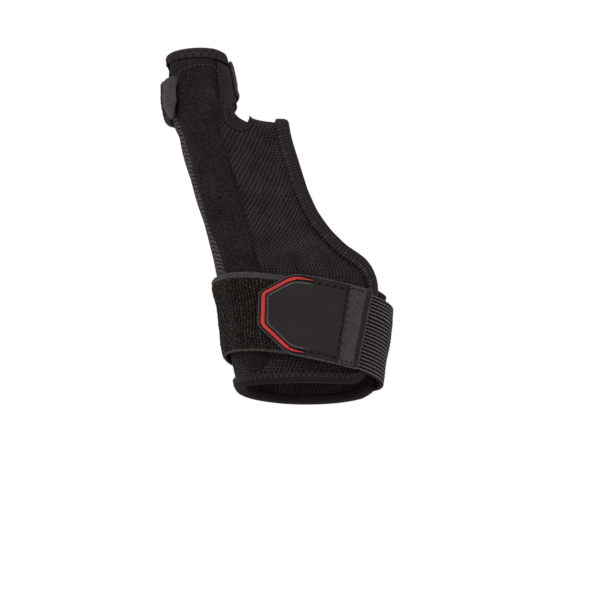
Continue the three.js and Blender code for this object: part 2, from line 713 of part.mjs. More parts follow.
function strapTab() {
  return panel(14, 8, (s, t) => {
    const along = TAB_LENGTH * (s < 0.5 ? 2 * s * s * 0.75 + s * 0.25 : s);
    const place = tabPlace(along, (t - 0.5) * 2 * tabHalf(along));
    const low = tabBase(place);
    return { ...place, low, high: low + TAB_WALL };
  });
}

function tabEndStrip() {
  const from = TAB_LENGTH - END_STRIP_INSET - END_STRIP_WIDTH;
  return panel(3, 6, (s, t) => {
    const along = from + END_STRIP_WIDTH * s;
    const place = tabPlace(along, (t - 0.5) * 2 * (tabHalf(along) - 1));
    const low = tabBase(place) + TAB_WALL + GAP;
    return { ...place, low, high: low + PATCH_WALL };
  });
}

// A fine strip laid along the tab's tip and part of its long sides
function tabTrim() {
  const reach = TAB_LENGTH * 0.55;
  const run = [];
  const steps = 40;
  for (let i = 0; i <= steps; i++) {
    const along = reach * (1 - i / steps) ** 1.5 + TRIM_INSET;
    run.push([along, tabHalf(along) - TRIM_INSET]);
  }
  for (let i = 0; i <= steps; i++) {
    const along = reach * (i / steps) ** 1.5 + TRIM_INSET;
    run.push([along, -tabHalf(along) + TRIM_INSET]);
  }
  const places = evenly(run.map(([along, across]) => tabPlace(along, across)), 2.6);
  const points = places.map((p) => formPoint(p.u, p.angle));
  const rings = places.map((place, i) => {
    const next = Math.min(i + 1, places.length - 1);
    const last = Math.max(i - 1, 0);
    const along = points[next].clone().sub(points[last]).normalize();
    const across = new THREE.Vector3().crossVectors(formNormal(place.u, place.angle), along).normalize();
    const base = tabBase(place) + TAB_WALL + TRIM_GAP;
    return [[-0.5, 0], [-0.5, 1], [0.5, 1], [0.5, 0]].map(([side, up]) => {
      const spot = nearest(points[i].clone().addScaledVector(across, side * TRIM_WIDTH), place);
      return over(spot.u, spot.angle, base + up * TRIM_WALL);
    });
  });
  return loft(rings, [[-0.5, 0], [-0.5, 1], [0.5, 1], [0.5, 0]]);
}

// The thumb strap runs from the outer side round the palm to the finger side
function thumbStrap() {
  const from = THUMB_TAB_ANGLE - 0.15;
  const to = 2 * Math.PI + 0.55;
  return panel(26, 3, (s, t) => {
    const angle = mix(from, to, s);
    const share = (1 + Math.cos(angle)) / 2;
    const z = THUMB_STRAP_LOW + THUMB_STRAP_RISE * share + THUMB_STRAP_HEIGHT * t;
    const u = Math.min(rowForHeight(z, angle), TOP_ROW - 0.02);
    const low = strapBase(u, angle) + GAP;
    return { u, angle, low, high: low + THUMB_STRAP_WALL };
  });
}

// The small patch that holds the thumb strap's end, pointed at the bottom
function thumbTab() {
  const top = THUMB_STRAP_LOW + THUMB_STRAP_HEIGHT - THUMB_TAB_DROP;
  const turn = THUMB_TAB_WIDTH / (THUMB_DEPTH / 2);
  return panel(8, 4, (s, t) => {
    const z = top - THUMB_TAB_LENGTH * s;
    const half = (turn / 2) * (s < 0.65 ? mix(0.85, 1, s / 0.65) : mix(1, 0.3, (s - 0.65) / 0.35));
    const angle = THUMB_TAB_ANGLE + (t - 0.5) * 2 * half;
    const u = rowForHeight(z, angle);
    const low = strapBase(u, angle) + GAP + THUMB_STRAP_WALL + GAP;
    return { u, angle, low, high: low + THUMB_TAB_WALL };
  });
}

const material = (name) => new THREE.MeshStandardMaterial({ metalness: 0, ...COLOURS[name] });
const splint = new THREE.Group();

function add(name, geometry, finish) {
  const mesh = new THREE.Mesh(geometry, material(finish));
  mesh.name = name;
  splint.add(mesh);
}

add("fabric_shell", fabricShell(), "mesh");
add("hand_edge_binding", sweep(handEdgeRun(), bindingProfile(BINDING_WIDTH)), "binding");
add("hem_binding", sweep(hemRun(), bindingProfile(HEM_BINDING_WIDTH)), "binding");
add("thumb_hole_facing", holeFacing(), "binding");
add("sleeve_rim", sleeveRim(), "binding");
add("stay_pocket", stayPocket(), "brushed");
add("wrist_loop_panel", strapBand(tabPlace(LOOP_PANEL_END, 0).angle, Math.PI + 0.8, 20, 4, LOOP_PANEL_WALL), "loop");
add("elastic_strap", strapBand(tabPlace(ELASTIC_START, 0).angle, -Math.PI + 0.82, 26, 6, ELASTIC_WALL), "elastic");
add("strap_tab", strapTab(), "vinyl");
add("tab_end_strip", tabEndStrip(), "grain");
add("tab_trim", tabTrim(), "trim");
add("thumb_strap", thumbStrap(), "loop");
add("thumb_tab", thumbTab(), "grain");

export default splint;
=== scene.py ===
"""Looks of a thumb spica splint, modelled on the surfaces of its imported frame.

Sizes are in millimetres and become metres when a mesh gets its points. +Z runs up the forearm to the
fingers, +X to the little-finger side and +Y to the palm.
"""

import logging
import math
from dataclasses import dataclass
from enum import Enum
from typing import Callable, ClassVar, Sequence, Union

import bpy
import numpy as np
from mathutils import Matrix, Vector


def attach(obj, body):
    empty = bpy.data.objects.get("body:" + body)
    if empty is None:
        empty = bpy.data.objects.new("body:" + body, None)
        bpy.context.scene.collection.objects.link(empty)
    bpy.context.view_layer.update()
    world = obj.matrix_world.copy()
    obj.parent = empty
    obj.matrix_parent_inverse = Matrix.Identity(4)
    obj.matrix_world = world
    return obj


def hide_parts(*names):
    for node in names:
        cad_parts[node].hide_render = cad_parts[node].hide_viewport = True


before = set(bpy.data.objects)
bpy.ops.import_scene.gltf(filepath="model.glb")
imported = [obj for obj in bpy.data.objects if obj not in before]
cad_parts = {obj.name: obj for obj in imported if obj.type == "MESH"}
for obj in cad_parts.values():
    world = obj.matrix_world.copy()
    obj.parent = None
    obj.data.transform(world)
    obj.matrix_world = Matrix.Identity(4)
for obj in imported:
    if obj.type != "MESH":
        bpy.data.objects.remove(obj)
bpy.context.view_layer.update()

LOG = logging.getLogger("splint")
MM = 0.001
TURN = 2 * math.pi
BODY = "root"
CLOTH_MAP = "cloth_mm"
RIM_MARK = "rim_mm"
SMOOTH_MARK = "smooth_cloth"
DRAWN_MARK = "drawn_cloth"

Array = np.ndarray
Colour = tuple[float, float, float]
Places = tuple[Array, Array]
Piece = bpy.types.Object


class Side(Enum):
    """The two long faces of the form."""

    BACK = 1
    PALM = -1


@dataclass(frozen=True)
class Sizes:
    """Driving sizes of the splint, in millimetres."""

    cuff_drop: float = 32.5
    thumb_reach: float = 142
    wrist_width: float = 82
    wrist_depth: float = 51
    thumb_width: float = 35.5
    thumb_depth: float = 31
    thumb_stand_off: float = 32.4
    thumb_set_back: float = 4
    palm_reach: float = 0.985
    palm_hem_drop: float = 4
    gap: float = 0.3
    leaf_gap: float = 0.62
    edge_gap: float = 0.9
    shell_wall: float = 2.6
    binding_wall: float = 1
    binding_width: float = 6.4
    hem_binding_width: float = 5
    hole_facing_width: float = 3.2
    pocket_border: float = 1.2
    pocket_crown: float = 1.7
    pocket_slope: float = 5
    loop_panel_wall: float = 2
    elastic_wall: float = 1.6
    tab_wall: float = 1.2
    patch_wall: float = 1
    thumb_strap_wall: float = 1.7
    thumb_tab_wall: float = 1
    strap_height: float = 38.4
    strap_level: float = -4.2
    strap_slant: float = -0.177
    strap_tilt: float = -0.1
    tab_length: float = 46.8
    tab_height: float = 39
    tab_tip_x: float = -21.4
    tab_tip_z: float = 2.7
    tab_tip_height: float = 18
    tab_chamfer: float = 15
    tab_slant: float = -0.2
    end_strip_width: float = 6.6
    end_strip_inset: float = 2.8
    trim_width: float = 1.5
    trim_inset: float = 2.1
    thumb_strap_height: float = 21.5
    thumb_strap_low: float = 107.5
    thumb_strap_rise: float = 12.5
    thumb_tab_length: float = 21.5
    thumb_tab_width: float = 7.6
    thumb_tab_angle: float = 2.3
    thumb_tab_lean: float = 3.4
    thumb_tab_drop: float = 2.8
    corner_radius: float = 9
    hole_x: float = -34.6
    hole_z: float = 108.2
    hole_half_width: float = 5.1
    hole_half_height: float = 8.2
    hole_tilt: float = 0.15
    mouth_right: float = 1.7
    mouth_up: float = 6.2
    mouth_half_width: float = 3.4
    mouth_half_height: float = 4.6
    tongue_radius: float = 6.4
    tongue_drop: float = 25.8


# Rows of the form, from the hem up, as shares of the named sizes
# wrist, lean: the thumb-side edge in half wrist widths and thumb stand-offs
# up: its height, in thumb reaches or, below the strap's centre, in cuff drops
# span_w, span_t: the row's width in wrist widths and thumb widths
# rise: how much higher the far end is, in thumb reaches
# thumb: share of the row that the thumb's round covers, t_back and t_palm: its depths in thumb depths
# hand: share of the row where the hand's round starts, h_back and h_palm: its depths in wrist depths
COLUMNS = (
    "wrist", "lean", "up", "span_w", "span_t", "rise",
    "thumb", "t_back", "t_palm", "hand", "h_back", "h_palm",
)
ROWS = np.array([
    [0.825, 0.0, -1.0, 0.82, 0.0, 0.0, 0.6, 0.0, 0.0, 0.0, 0.48, 0.48],
    [0.895, 0.0, -0.62, 0.882, 0.0, 0.0, 0.6, 0.0, 0.0, 0.0, 0.49, 0.49],
    [0.96, 0.0, -0.3, 0.936, 0.0, 0.0, 0.6, 0.0, 0.0, 0.0, 0.497, 0.5],
    [0.978, 0.0, 0.0, 0.967, 0.0, 0.0, 0.6, 0.1, 0.1, 0.0, 0.502, 0.51],
    [1.0, 0.08, 0.127, 1.03, 0.0, -0.007, 0.62, 0.58, 0.7, 0.0, 0.5, 0.52],
    [1.0, 0.2, 0.25, 1.19, 0.0, 0.032, 0.55, 0.65, 0.87, 0.05, 0.46, 0.47],
    [1.0, 0.333, 0.36, 1.326, 0.0, 0.077, 0.48, 0.66, 0.87, 0.12, 0.412, 0.43],
    [1.0, 0.5, 0.479, 1.405, 0.0, 0.113, 0.4, 0.645, 0.81, 0.2, 0.363, 0.373],
    [1.0, 0.623, 0.577, 0.8, 1.0, 0.127, 0.42, 0.613, 0.742, 0.25, 0.314, 0.324],
    [1.0, 0.71, 0.648, 0.45, 1.0, 0.084, 0.54, 0.58, 0.694, 0.3, 0.275, 0.275],
    [1.0, 0.77, 0.697, 0.256, 1.0, 0.041, 0.66, 0.55, 0.63, 0.35, 0.225, 0.225],
    [1.0, 0.846, 0.739, 0.108, 0.99, 0.019, 0.8, 0.532, 0.58, 0.45, 0.167, 0.167],
    [1.0, 0.895, 0.785, 0.008, 0.985, 0.009, 0.99, 0.506, 0.522, 0.6, 0.078, 0.078],
    [1.0, 0.938, 0.838, 0.0, 0.907, 0.022, 1.0, 0.475, 0.475, 0.6, 0.0, 0.0],
    [1.0, 0.949, 0.908, 0.0, 0.883, 0.018, 1.0, 0.45, 0.44, 0.6, 0.0, 0.0],
    [1.0, 0.928, 0.999, 0.0, 0.77, 0.01, 1.0, 0.4, 0.39, 0.6, 0.0, 0.0],
])

# Free edges of the shell, seen from the front: height in thumb reaches, place in half wrist widths
BACK_EDGE = np.array([
    [-0.25, 0.7], [-0.14, 0.72], [0.0, 0.8], [0.1, 0.84], [0.155, 0.81], [0.204, 0.7],
    [0.251, 0.466], [0.308, 0.276], [0.376, 0.12], [0.459, 0.0], [0.569, -0.11],
    [0.676, -0.207], [0.8, -0.24],
])
PALM_EDGE = np.array([
    [-0.25, 0.84], [-0.14, 1.0], [0.0, 1.06], [0.07, 1.05], [0.115, 0.98], [0.157, 0.84],
    [0.21, 0.6], [0.28, 0.33], [0.37, 0.1], [0.459, -0.04], [0.569, -0.14],
    [0.676, -0.212], [0.8, -0.24],
])

# Stay pocket: height in thumb reaches, its thumb-side edge in half wrist widths and thumb
# stand-offs, as for the rows, and its width in thumb widths
POCKET = np.array([
    [-0.182, 0.754, 0.0, 0.36], [-0.07, 0.79, 0.0, 0.38], [0.0, 0.83, 0.0, 0.41],
    [0.172, 0.885, 0.108, 0.473], [0.24, 0.9, 0.185, 0.49], [0.333, 0.92, 0.32, 0.54],
    [0.415, 0.93, 0.42, 0.547], [0.5, 0.94, 0.515, 0.557], [0.57, 0.95, 0.585, 0.538],
    [0.65, 0.97, 0.655, 0.53], [0.71, 0.97, 0.74, 0.56], [0.76, 0.98, 0.81, 0.632],
    [0.83, 1.0, 0.9, 0.705], [0.9, 1.0, 0.917, 0.685], [0.985, 1.0, 0.902, 0.65],
])


def mix(low: Array, high: Array, share: Array) -> Array:
    """The value a share of the way from low to high."""
    return low + (high - low) * share


def ease(low: float, high: float, value: Array) -> Array:
    """A smooth step from 0 to 1 as value goes from low to high."""
    t = np.clip((value - low) / (high - low), 0, 1)
    return t * t * (3 - 2 * t)


def spline(values: Array, at: Array) -> Array:
    """Reads a smooth curve through equally spaced values.

    Args:
        values: one value or one row of values for each place 0, 1, 2 and so on.
        at: the places to read, between the first and the last.

    Returns:
        The curve's values, with a last axis more where values has rows.
    """
    last = len(values) - 1
    at = np.clip(np.asarray(at, float), 0, last)
    i = np.clip(np.floor(at).astype(int), 0, last - 1)
    t = at - i
    if values.ndim > 1:
        t = t[..., None]
    p0 = values[np.maximum(i - 1, 0)]
    p1 = values[i]
    p2 = values[i + 1]
    p3 = values[np.minimum(i + 2, last)]
    bend = 2 * p0 - 5 * p1 + 4 * p2 - p3 + t * (3 * (p1 - p2) + p3 - p0)
    return p1 + 0.5 * t * (p2 - p0 + t * bend)


def table_spline(table: Array, column: int, place: Array) -> Array:
    """Reads one column of a table whose first column holds unequal places.

    Args:
        table: rows of a place and its values.
        column: which value to read.
        place: where to read it.

    Returns:
        The smooth curve's values there.
    """
    keys = table[:, 0]
    key = np.clip(place, keys[0], keys[-1])
    i = np.clip(np.searchsorted(keys, key, side="right") - 1, 0, len(keys) - 2)
    return spline(table[:, column], i + (key - keys[i]) / (keys[i + 1] - keys[i]))


def unit(vectors: Array) -> Array:
    """The vectors at length 1."""
    return vectors / np.maximum(np.linalg.norm(vectors, axis=-1, keepdims=True), 1e-12)


def travelled(points: Array) -> Array:
    """How far along a line of points each point lies."""
    return np.concatenate([[0.0], np.cumsum(np.linalg.norm(np.diff(points, axis=0), axis=1))])


class Form:
    """The smooth closed form, like a mitten with a raised thumb, that carries every piece.

    A place on it is u, the row from the hem to the top of the thumb sleeve, and an angle round the
    row: 0 on the little-finger side, half pi on the back, pi on the thumb side, then the palm.
    """

    STEP = 2e-3
    ROUND_POWER = 6
    ROUND_FULLNESS = 0.86
    HALVINGS = 34
    SEARCH_STEPS = 9
    DRAPE = 0.22
    TONGUE_FADE = 9
    THUMB_FADE = (40, 15)
    THUMB_CROWN = 0.35

    def __init__(self, sizes: Sizes) -> None:
        """Finds the rows where the sleeve ends and where the sheet closes.

        Args:
            sizes: the splint's driving sizes.
        """
        self.sizes = sizes
        self.top = len(ROWS) - 1
        self.sleeve_end = float(self.point(self.top, math.pi)[2])
        under_rim = self.sleeve_end - sizes.binding_wall - sizes.gap
        self.sleeve_top = float(self.row_for_height(under_rim, math.pi))
        self.closing = self._closing_row()

    def shares(self, u: Array) -> dict[str, Array]:
        """The rows' shares at u, by column name."""
        values = spline(ROWS, u)
        return {name: values[..., k] for k, name in enumerate(COLUMNS)}

    def row(self, u: Array) -> tuple[Array, Array, Array, Array, dict[str, Array]]:
        """A row's thumb-side end, width and rise.

        Args:
            u: the row.

        Returns:
            The end's x and z, the width, how much higher the far end is, and the row's shares.
        """
        s = self.sizes
        share = self.shares(u)
        x = -share["wrist"] * s.wrist_width / 2 - share["lean"] * s.thumb_stand_off
        z = share["up"] * np.where(share["up"] > 0, s.thumb_reach, s.cuff_drop)
        width = share["span_w"] * s.wrist_width + share["span_t"] * s.thumb_width
        return x, z, width, share["rise"] * s.thumb_reach, share

    def dome(self, t: Array, start: Array, end: Array) -> Array:
        """Height of a round over the stretch of a row from start to end, at most 1."""
        off = (2 * t - start - end) / (end - start)
        return np.maximum(0, 1 - off * off) ** (self.ROUND_FULLNESS / 2)

    def point(self, u: Array, angle: Array) -> Array:
        """Points of the form's outer face.

        Args:
            u: their rows.
            angle: their angles round the rows.

        Returns:
            Their x, y and z on a last axis.
        """
        s = self.sizes
        u, angle = np.broadcast_arrays(np.asarray(u, float), np.asarray(angle, float))
        x, z, width, rise, share = self.row(u)
        t = (1 + np.cos(angle)) / 2
        back = np.sin(angle) >= 0
        thumb_share = np.where(back, share["t_back"], share["t_palm"])
        hand_share = np.where(back, share["h_back"], share["h_palm"])
        thumb = self.dome(t, 0, np.minimum(share["thumb"], 1)) * s.thumb_depth * thumb_share
        hand = self.dome(t, share["hand"], 1) * s.wrist_depth * hand_share
        depth = (thumb ** self.ROUND_POWER + hand ** self.ROUND_POWER) ** (1 / self.ROUND_POWER)
        middle = s.thumb_set_back * ease(0, self.top, u)
        low = s.palm_hem_drop * (1 - ease(0, 3, u)) * np.maximum(0, -np.sin(angle))
        return np.stack([x + width * t, middle + np.where(back, -depth, depth), z + rise * t - low], axis=-1)

    def normal(self, u: Array, angle: Array) -> Array:
        """Directions out of the form's face."""
        along = self.point(np.minimum(u + self.STEP, self.top), angle)
        along = along - self.point(np.maximum(u - self.STEP, 0), angle)
        across = self.point(u, angle + self.STEP) - self.point(u, angle - self.STEP)
        return unit(np.cross(along, across))

    def drape(self, points: Array) -> Array:
        """The slow waves that every layer of worn cloth shares, as a height."""
        x, y, z = points[..., 0], points[..., 1], points[..., 2]
        wave = np.sin(0.19 * x + 0.11 * z + 0.8) * np.sin(0.15 * z - 0.07 * x)
        return self.DRAPE * (wave + 0.6 * np.sin(0.31 * z + 0.23 * y + 0.12 * x))

    def over(self, u: Array, angle: Array, height: Array) -> Array:
        """Points at a height over the form's face, below it where the height is negative."""
        points = self.point(u, angle)
        return points + self.normal(u, angle) * (height + self.drape(points))[..., None]

    def place_at(self, x: Array, z: Array) -> Places:
        """The places on the back that the front view shows at x and z."""
        x, z = np.broadcast_arrays(np.asarray(x, float), np.asarray(z, float))
        low = np.zeros(x.shape)
        high = np.full(x.shape, float(self.top))
        for _ in range(self.HALVINGS):
            u = (low + high) / 2
            row_x, row_z, width, rise, _ = self.row(u)
            above = z - row_z - rise / width * (x - row_x) > 0
            low = np.where(above, u, low)
            high = np.where(above, high, u)
        row_x, _, width, _, _ = self.row(low)
        return low, np.arccos(2 * np.clip((x - row_x) / width, 0, 1) - 1)

    def row_for_height(self, z: Array, angle: Array) -> Array:
        """The rows where the form has a height z at an angle."""
        z, angle = np.broadcast_arrays(np.asarray(z, float), np.asarray(angle, float))
        low = np.zeros(z.shape)
        high = np.full(z.shape, float(self.top))
        for _ in range(self.HALVINGS):
            u = (low + high) / 2
            below = self.point(u, angle)[..., 2] < z
            low = np.where(below, u, low)
            high = np.where(below, high, u)
        return low

    def nearest(self, points: Array, u: Array, angle: Array) -> Places:
        """The places on the form nearest to points.

        Args:
            points: the points.
            u: rows near them, where the search starts.
            angle: angles near them.

        Returns:
            The nearest places' rows and angles.
        """
        for _ in range(self.SEARCH_STEPS):
            here = self.point(u, angle)
            above = np.minimum(u + self.STEP, self.top)
            under = np.maximum(u - self.STEP, 0)
            du = (self.point(above, angle) - self.point(under, angle)) / (above - under)[..., None]
            da = (self.point(u, angle + self.STEP) - self.point(u, angle - self.STEP)) / (2 * self.STEP)
            off = points - here
            a, b, c = (du * du).sum(-1), (du * da).sum(-1), (da * da).sum(-1)
            det = np.maximum(a * c - b * b, 1e-9)
            toward_u, toward_a = (off * du).sum(-1), (off * da).sum(-1)
            u = np.clip(u + np.clip((c * toward_u - b * toward_a) / det, -0.5, 0.5), 0, self.top)
            angle = angle + np.clip((a * toward_a - b * toward_u) / det, -0.3, 0.3)
        return u, angle

    def edge_angle(self, u: Array, side: Side) -> Array:
        """The angle where the sheet ends in a row, and 0 where the row is closed.

        Args:
            u: the rows.
            side: which face's edge.

        Returns:
            The angles, counted from the little-finger side.
        """
        s = self.sizes
        table = BACK_EDGE if side is Side.BACK else PALM_EDGE
        row_x, row_z, width, rise, _ = self.row(u)

        def beyond(t: Array) -> Array:
            """Whether a share of the row lies past the edge."""
            z = row_z + rise * t
            over_hem = np.clip(z + s.cuff_drop, 0, s.corner_radius)
            corner = s.corner_radius - np.sqrt(s.corner_radius ** 2 - (s.corner_radius - over_hem) ** 2)
            edge_x = table_spline(table, 1, z / s.thumb_reach) * s.wrist_width / 2
            return row_x + width * t > edge_x - corner

        most = np.ones(np.shape(u))
        if side is Side.PALM:
            most = mix(s.palm_reach, 1, ease(0.2, 0.5, (row_z + rise) / s.thumb_reach))
        low = np.zeros(np.shape(u))
        high = most.copy()
        for _ in range(self.HALVINGS):
            t = (low + high) / 2
            past = beyond(t)
            high = np.where(past, t, high)
            low = np.where(past, low, t)
        return np.arccos(2 * np.where(beyond(most), low, most) - 1)

    def _closing_row(self) -> float:
        """The row where the sheet closes over the web between thumb and forefinger."""
        low, high = self.top / 2, float(self.top)
        for _ in range(self.HALVINGS):
            u = (low + high) / 2
            if self.edge_angle(np.array(u), Side.BACK) > 0:
                low = u
            else:
                high = u
        return high

    def evenly(self, u: Array, angle: Array, spacing: float) -> Places:
        """Evenly spaced places along a run of places, measured on the form."""
        run = travelled(self.point(u, angle))
        count = max(2, round(run[-1] / spacing))
        at = np.linspace(0, run[-1], count + 1)
        return np.interp(at, run, u), np.interp(at, run, angle)

    def beside(self, u: Array, angle: Array, distances: Array, closed: bool = False) -> Places:
        """Places to the left of a run of places.

        Args:
            u: the run's rows.
            angle: the run's angles.
            distances: one distance for each column wanted, or one row of them for each place.
            closed: whether the run's last place is next to its first.

        Returns:
            Rows and angles, one row of them for each place of the run.
        """
        points = self.point(u, angle)
        if closed:
            along = np.roll(points, -1, axis=0) - np.roll(points, 1, axis=0)
        else:
            along = np.gradient(points, axis=0)
        left = unit(np.cross(self.normal(u, angle), along))
        distances = np.broadcast_to(distances, (len(u), np.shape(distances)[-1]))
        targets = points[:, None, :] + left[:, None, :] * distances[:, :, None]
        start_u = np.repeat(u[:, None], distances.shape[1], axis=1)
        start_a = np.repeat(angle[:, None], distances.shape[1], axis=1)
        return self.nearest(targets, start_u, start_a)

    def free_edge(self) -> tuple[Places, Places, Places]:
        """The sheet's free edge: up the back, down the palm side, and along the hem."""
        s = np.linspace(0, 1, 321)
        u = self.closing * np.where(s < 0.5, 2 * s * s, 1 - 2 * (1 - s) ** 2)
        back = (u, self.edge_angle(u, Side.BACK))
        palm = (u[::-1], -self.edge_angle(u, Side.PALM)[::-1])
        hem_angles = np.linspace(palm[1][-1], back[1][0] - TURN, len(s))[1:-1]
        return back, palm, (np.zeros(len(hem_angles)), hem_angles)

    def pocket_sides(self, z: Array) -> tuple[Array, Array]:
        """The stay pocket's two sides at a height, seen from the front."""
        s = self.sizes
        place = np.asarray(z) / s.thumb_reach
        left = -table_spline(POCKET, 1, place) * s.wrist_width / 2
        left = left - table_spline(POCKET, 2, place) * s.thumb_stand_off
        return left, left + table_spline(POCKET, 3, place) * s.thumb_width

    def crown_share(self, z: Array) -> Array:
        """How much of its crown the pocket keeps at a height: less by its tongue and on the thumb's end."""
        start, end = (self.sleeve_end - drop for drop in self.THUMB_FADE)
        by_tongue = ease(0, self.TONGUE_FADE, z + self.sizes.tongue_drop)
        return by_tongue * mix(1, self.THUMB_CROWN, ease(start, end, z))

    def pocket_top(self, z: Array, inside: Array) -> Array:
        """Height of the stay pocket's face at a distance in from its nearer side."""
        s = self.sizes
        crown = s.pocket_crown * ease(0, s.pocket_slope, inside) * self.crown_share(z)
        return s.leaf_gap + s.pocket_border + crown

    def strap_base(self, u: Array, angle: Array) -> Array:
        """Height of a strap's underside: clear of the bindings, and of the pocket where it is."""
        s = self.sizes
        over_binding = s.leaf_gap + s.binding_wall + s.gap
        point = self.point(u, angle)
        x, z = point[..., 0], point[..., 2]
        left, right = self.pocket_sides(z)
        inside = np.minimum(x - left, right - x)
        over = self.pocket_top(np.maximum(z, 0), inside + s.pocket_slope / 2) + s.gap
        raised = mix(over_binding, over, ease(-s.pocket_slope, 0, inside))
        return np.where(np.sin(angle) < 0, over_binding, raised)


class Bench:
    """The operators that start, join and finish one piece."""

    @staticmethod
    def only(*pieces: Piece) -> None:
        """Selects these pieces alone and makes the first one active."""
        bpy.ops.object.select_all(action="DESELECT")
        for piece in pieces:
            piece.select_set(True)
        bpy.context.view_layer.objects.active = pieces[0]

    @staticmethod
    def grid(name: str, rows: int, columns: int) -> tuple[Piece, Array, Array]:
        """Adds a flat grid.

        Args:
            name: the piece's name.
            rows: faces one way.
            columns: faces the other way.

        Returns:
            The piece, and the row and column number of each of its points.
        """
        bpy.ops.object.select_all(action="DESELECT")
        bpy.ops.mesh.primitive_grid_add(x_subdivisions=columns, y_subdivisions=rows, size=1)
        piece = bpy.context.active_object
        piece.name = name
        piece.data.name = name
        flat = np.empty(len(piece.data.vertices) * 3)
        piece.data.vertices.foreach_get("co", flat)
        flat = flat.reshape(-1, 3) + 0.5
        i = np.rint(flat[:, 1] * rows).astype(int)
        j = np.rint(flat[:, 0] * columns).astype(int)
        return piece, i, j

    @staticmethod
    def laid(name: str, points: Array, cloth: Array | None = None, **marks: Array) -> Piece:
        """A grid whose points are laid out in space.

        Args:
            name: the piece's name.
            points: rows of columns of points, in millimetres.
            cloth: rows of columns of flat cloth places in millimetres, for the pattern.
            marks: rows of columns of numbers to store at the points, by name.

        Returns:
            The open sheet.
        """
        piece, i, j = Bench.grid(name, points.shape[0] - 1, points.shape[1] - 1)
        mesh = piece.data
        mesh.vertices.foreach_set("co", (points[i, j] * MM).ravel())
        layer = mesh.uv_layers[0]
        layer.name = CLOTH_MAP
        if cloth is not None:
            corner = np.empty(len(mesh.loops), int)
            mesh.loops.foreach_get("vertex_index", corner)
            layer.data.foreach_set("uv", cloth[i, j][corner].ravel())
        for mark, values in marks.items():
            mesh.attributes.new(mark, "FLOAT", "POINT").data.foreach_set("value", values[i, j])
        mesh.update()
        return piece

    @staticmethod
    def edit(piece: Piece, *steps: Callable[[], object]) -> None:
        """Runs edit-mode steps on the whole of a piece."""
        Bench.only(piece)
        bpy.ops.object.mode_set(mode="EDIT")
        bpy.ops.mesh.select_all(action="SELECT")
        for step in steps:
            step()
        bpy.ops.object.mode_set(mode="OBJECT")

    @staticmethod
    def weld(piece: Piece, distance: float = 0.002) -> None:
        """Merges points that lie together, within a distance in millimetres."""
        Bench.edit(piece, lambda: bpy.ops.mesh.remove_doubles(threshold=distance * MM))

    @staticmethod
    def closed(piece: Piece) -> None:
        """Welds a piece, fills its open ends and turns its faces out."""
        Bench.weld(piece)
        Bench.edit(
            piece,
            lambda: bpy.ops.mesh.fill_holes(sides=0),
            lambda: bpy.ops.mesh.normals_make_consistent(inside=False),
        )

    @staticmethod
    def join(first: Piece, *others: Piece) -> Piece:
        """Joins pieces into the first one."""
        Bench.only(first, *others)
        bpy.ops.object.join()
        return first

    @staticmethod
    def modify(piece: Piece, kind: str, **settings: object) -> None:
        """Adds a modifier to a piece and applies it."""
        Bench.only(piece)
        modifier = piece.modifiers.new(kind.lower(), kind)
        for name, value in settings.items():
            setattr(modifier, name, value)
        bpy.ops.object.modifier_apply(modifier=modifier.name)

    @staticmethod
    def smooth(piece: Piece, degrees: float = 50) -> None:
        """Shades a piece smooth, apart from edges sharper than an angle."""
        Bench.only(piece)
        bpy.ops.object.shade_smooth_by_angle(angle=math.radians(degrees))

    @staticmethod
    def face_out(piece: Piece, centre: Vector, within: float = math.inf) -> None:
        """Turns an open sheet's faces away from a point, judged by those within a height of it."""
        near = [p for p in piece.data.polygons if abs(p.center.z - centre.z) < within]
        if sum(p.normal.dot(p.center - centre) for p in near) < 0:
            Bench.edit(piece, lambda: bpy.ops.mesh.flip_normals())

    @staticmethod
    def cut(piece: Piece, tool: Piece, operation: str) -> None:
        """Cuts a piece by a closed tool, which is then removed."""
        Bench.modify(piece, "BOOLEAN", object=tool, operation=operation, solver="EXACT")
        bpy.data.objects.remove(tool)

    @staticmethod
    def sheet(name: str, form: Form, places: Places, low: Array, high: Array, cloth: Array,
              rim: tuple[Array, Array]) -> Piece:
        """A flat strip of thick cloth with round edges, laid on the form.

        Args:
            name: the piece's name.
            form: the form that carries it.
            places: rows of columns of places.
            low: the underside's heights.
            high: the face's heights.
            cloth: flat cloth places in millimetres.
            rim: each row's and each column's distance in from the nearer end or side.

        Returns:
            The closed piece, with its distance from the rim stored at each point.
        """
        inside = np.minimum(rim[0][:, None], rim[1][None, :])
        half = (high - low) / 2
        fullness = np.ones(inside.shape)
        for distance in (rim[0][:, None], rim[1][None, :]):
            t = np.clip(distance / half, 0, 1)
            fullness = fullness * np.sqrt(np.maximum(0, 1 - (1 - t) ** 2))
        layers = []
        for sign in (1, -1):
            points = form.over(*places, (low + high) / 2 + sign * half * fullness)
            layers.append(Bench.laid(name, points, cloth, **{RIM_MARK: inside}))
        piece = Bench.join(*layers)
        Bench.closed(piece)
        return piece


def spaced(length: float, spacing: float, radius: float, steps: int = 3) -> Array:
    """Distances along a strip, even in its middle and close together on its round ends.

    Args:
        length: the strip's length.
        spacing: about how far apart they are in the middle.
        radius: the ends' radius.
        steps: how many lie on each round end.

    Returns:
        The distances from 0 to the length.
    """
    bend = radius * (1 - np.cos(np.linspace(0, math.pi / 2, steps + 1)))
    count = max(2, round((length - 2 * radius) / spacing))
    middle = np.linspace(radius, length - radius, count + 1)
    return np.concatenate([bend[:-1], middle, (length - bend[:-1])[::-1]])


def flat_grid(along: Array, across: Array) -> Array:
    """Flat cloth places, one row of them for each distance along."""
    return np.stack(np.broadcast_arrays(along[:, None], across[None, :]), axis=2)


def resampled(line: Array, count: int) -> Array:
    """A flat line as count + 1 evenly spaced points."""
    run = travelled(line)
    at = np.linspace(0, run[-1], count + 1)
    return np.stack([np.interp(at, run, line[:, axis]) for axis in (0, 1)], axis=1)


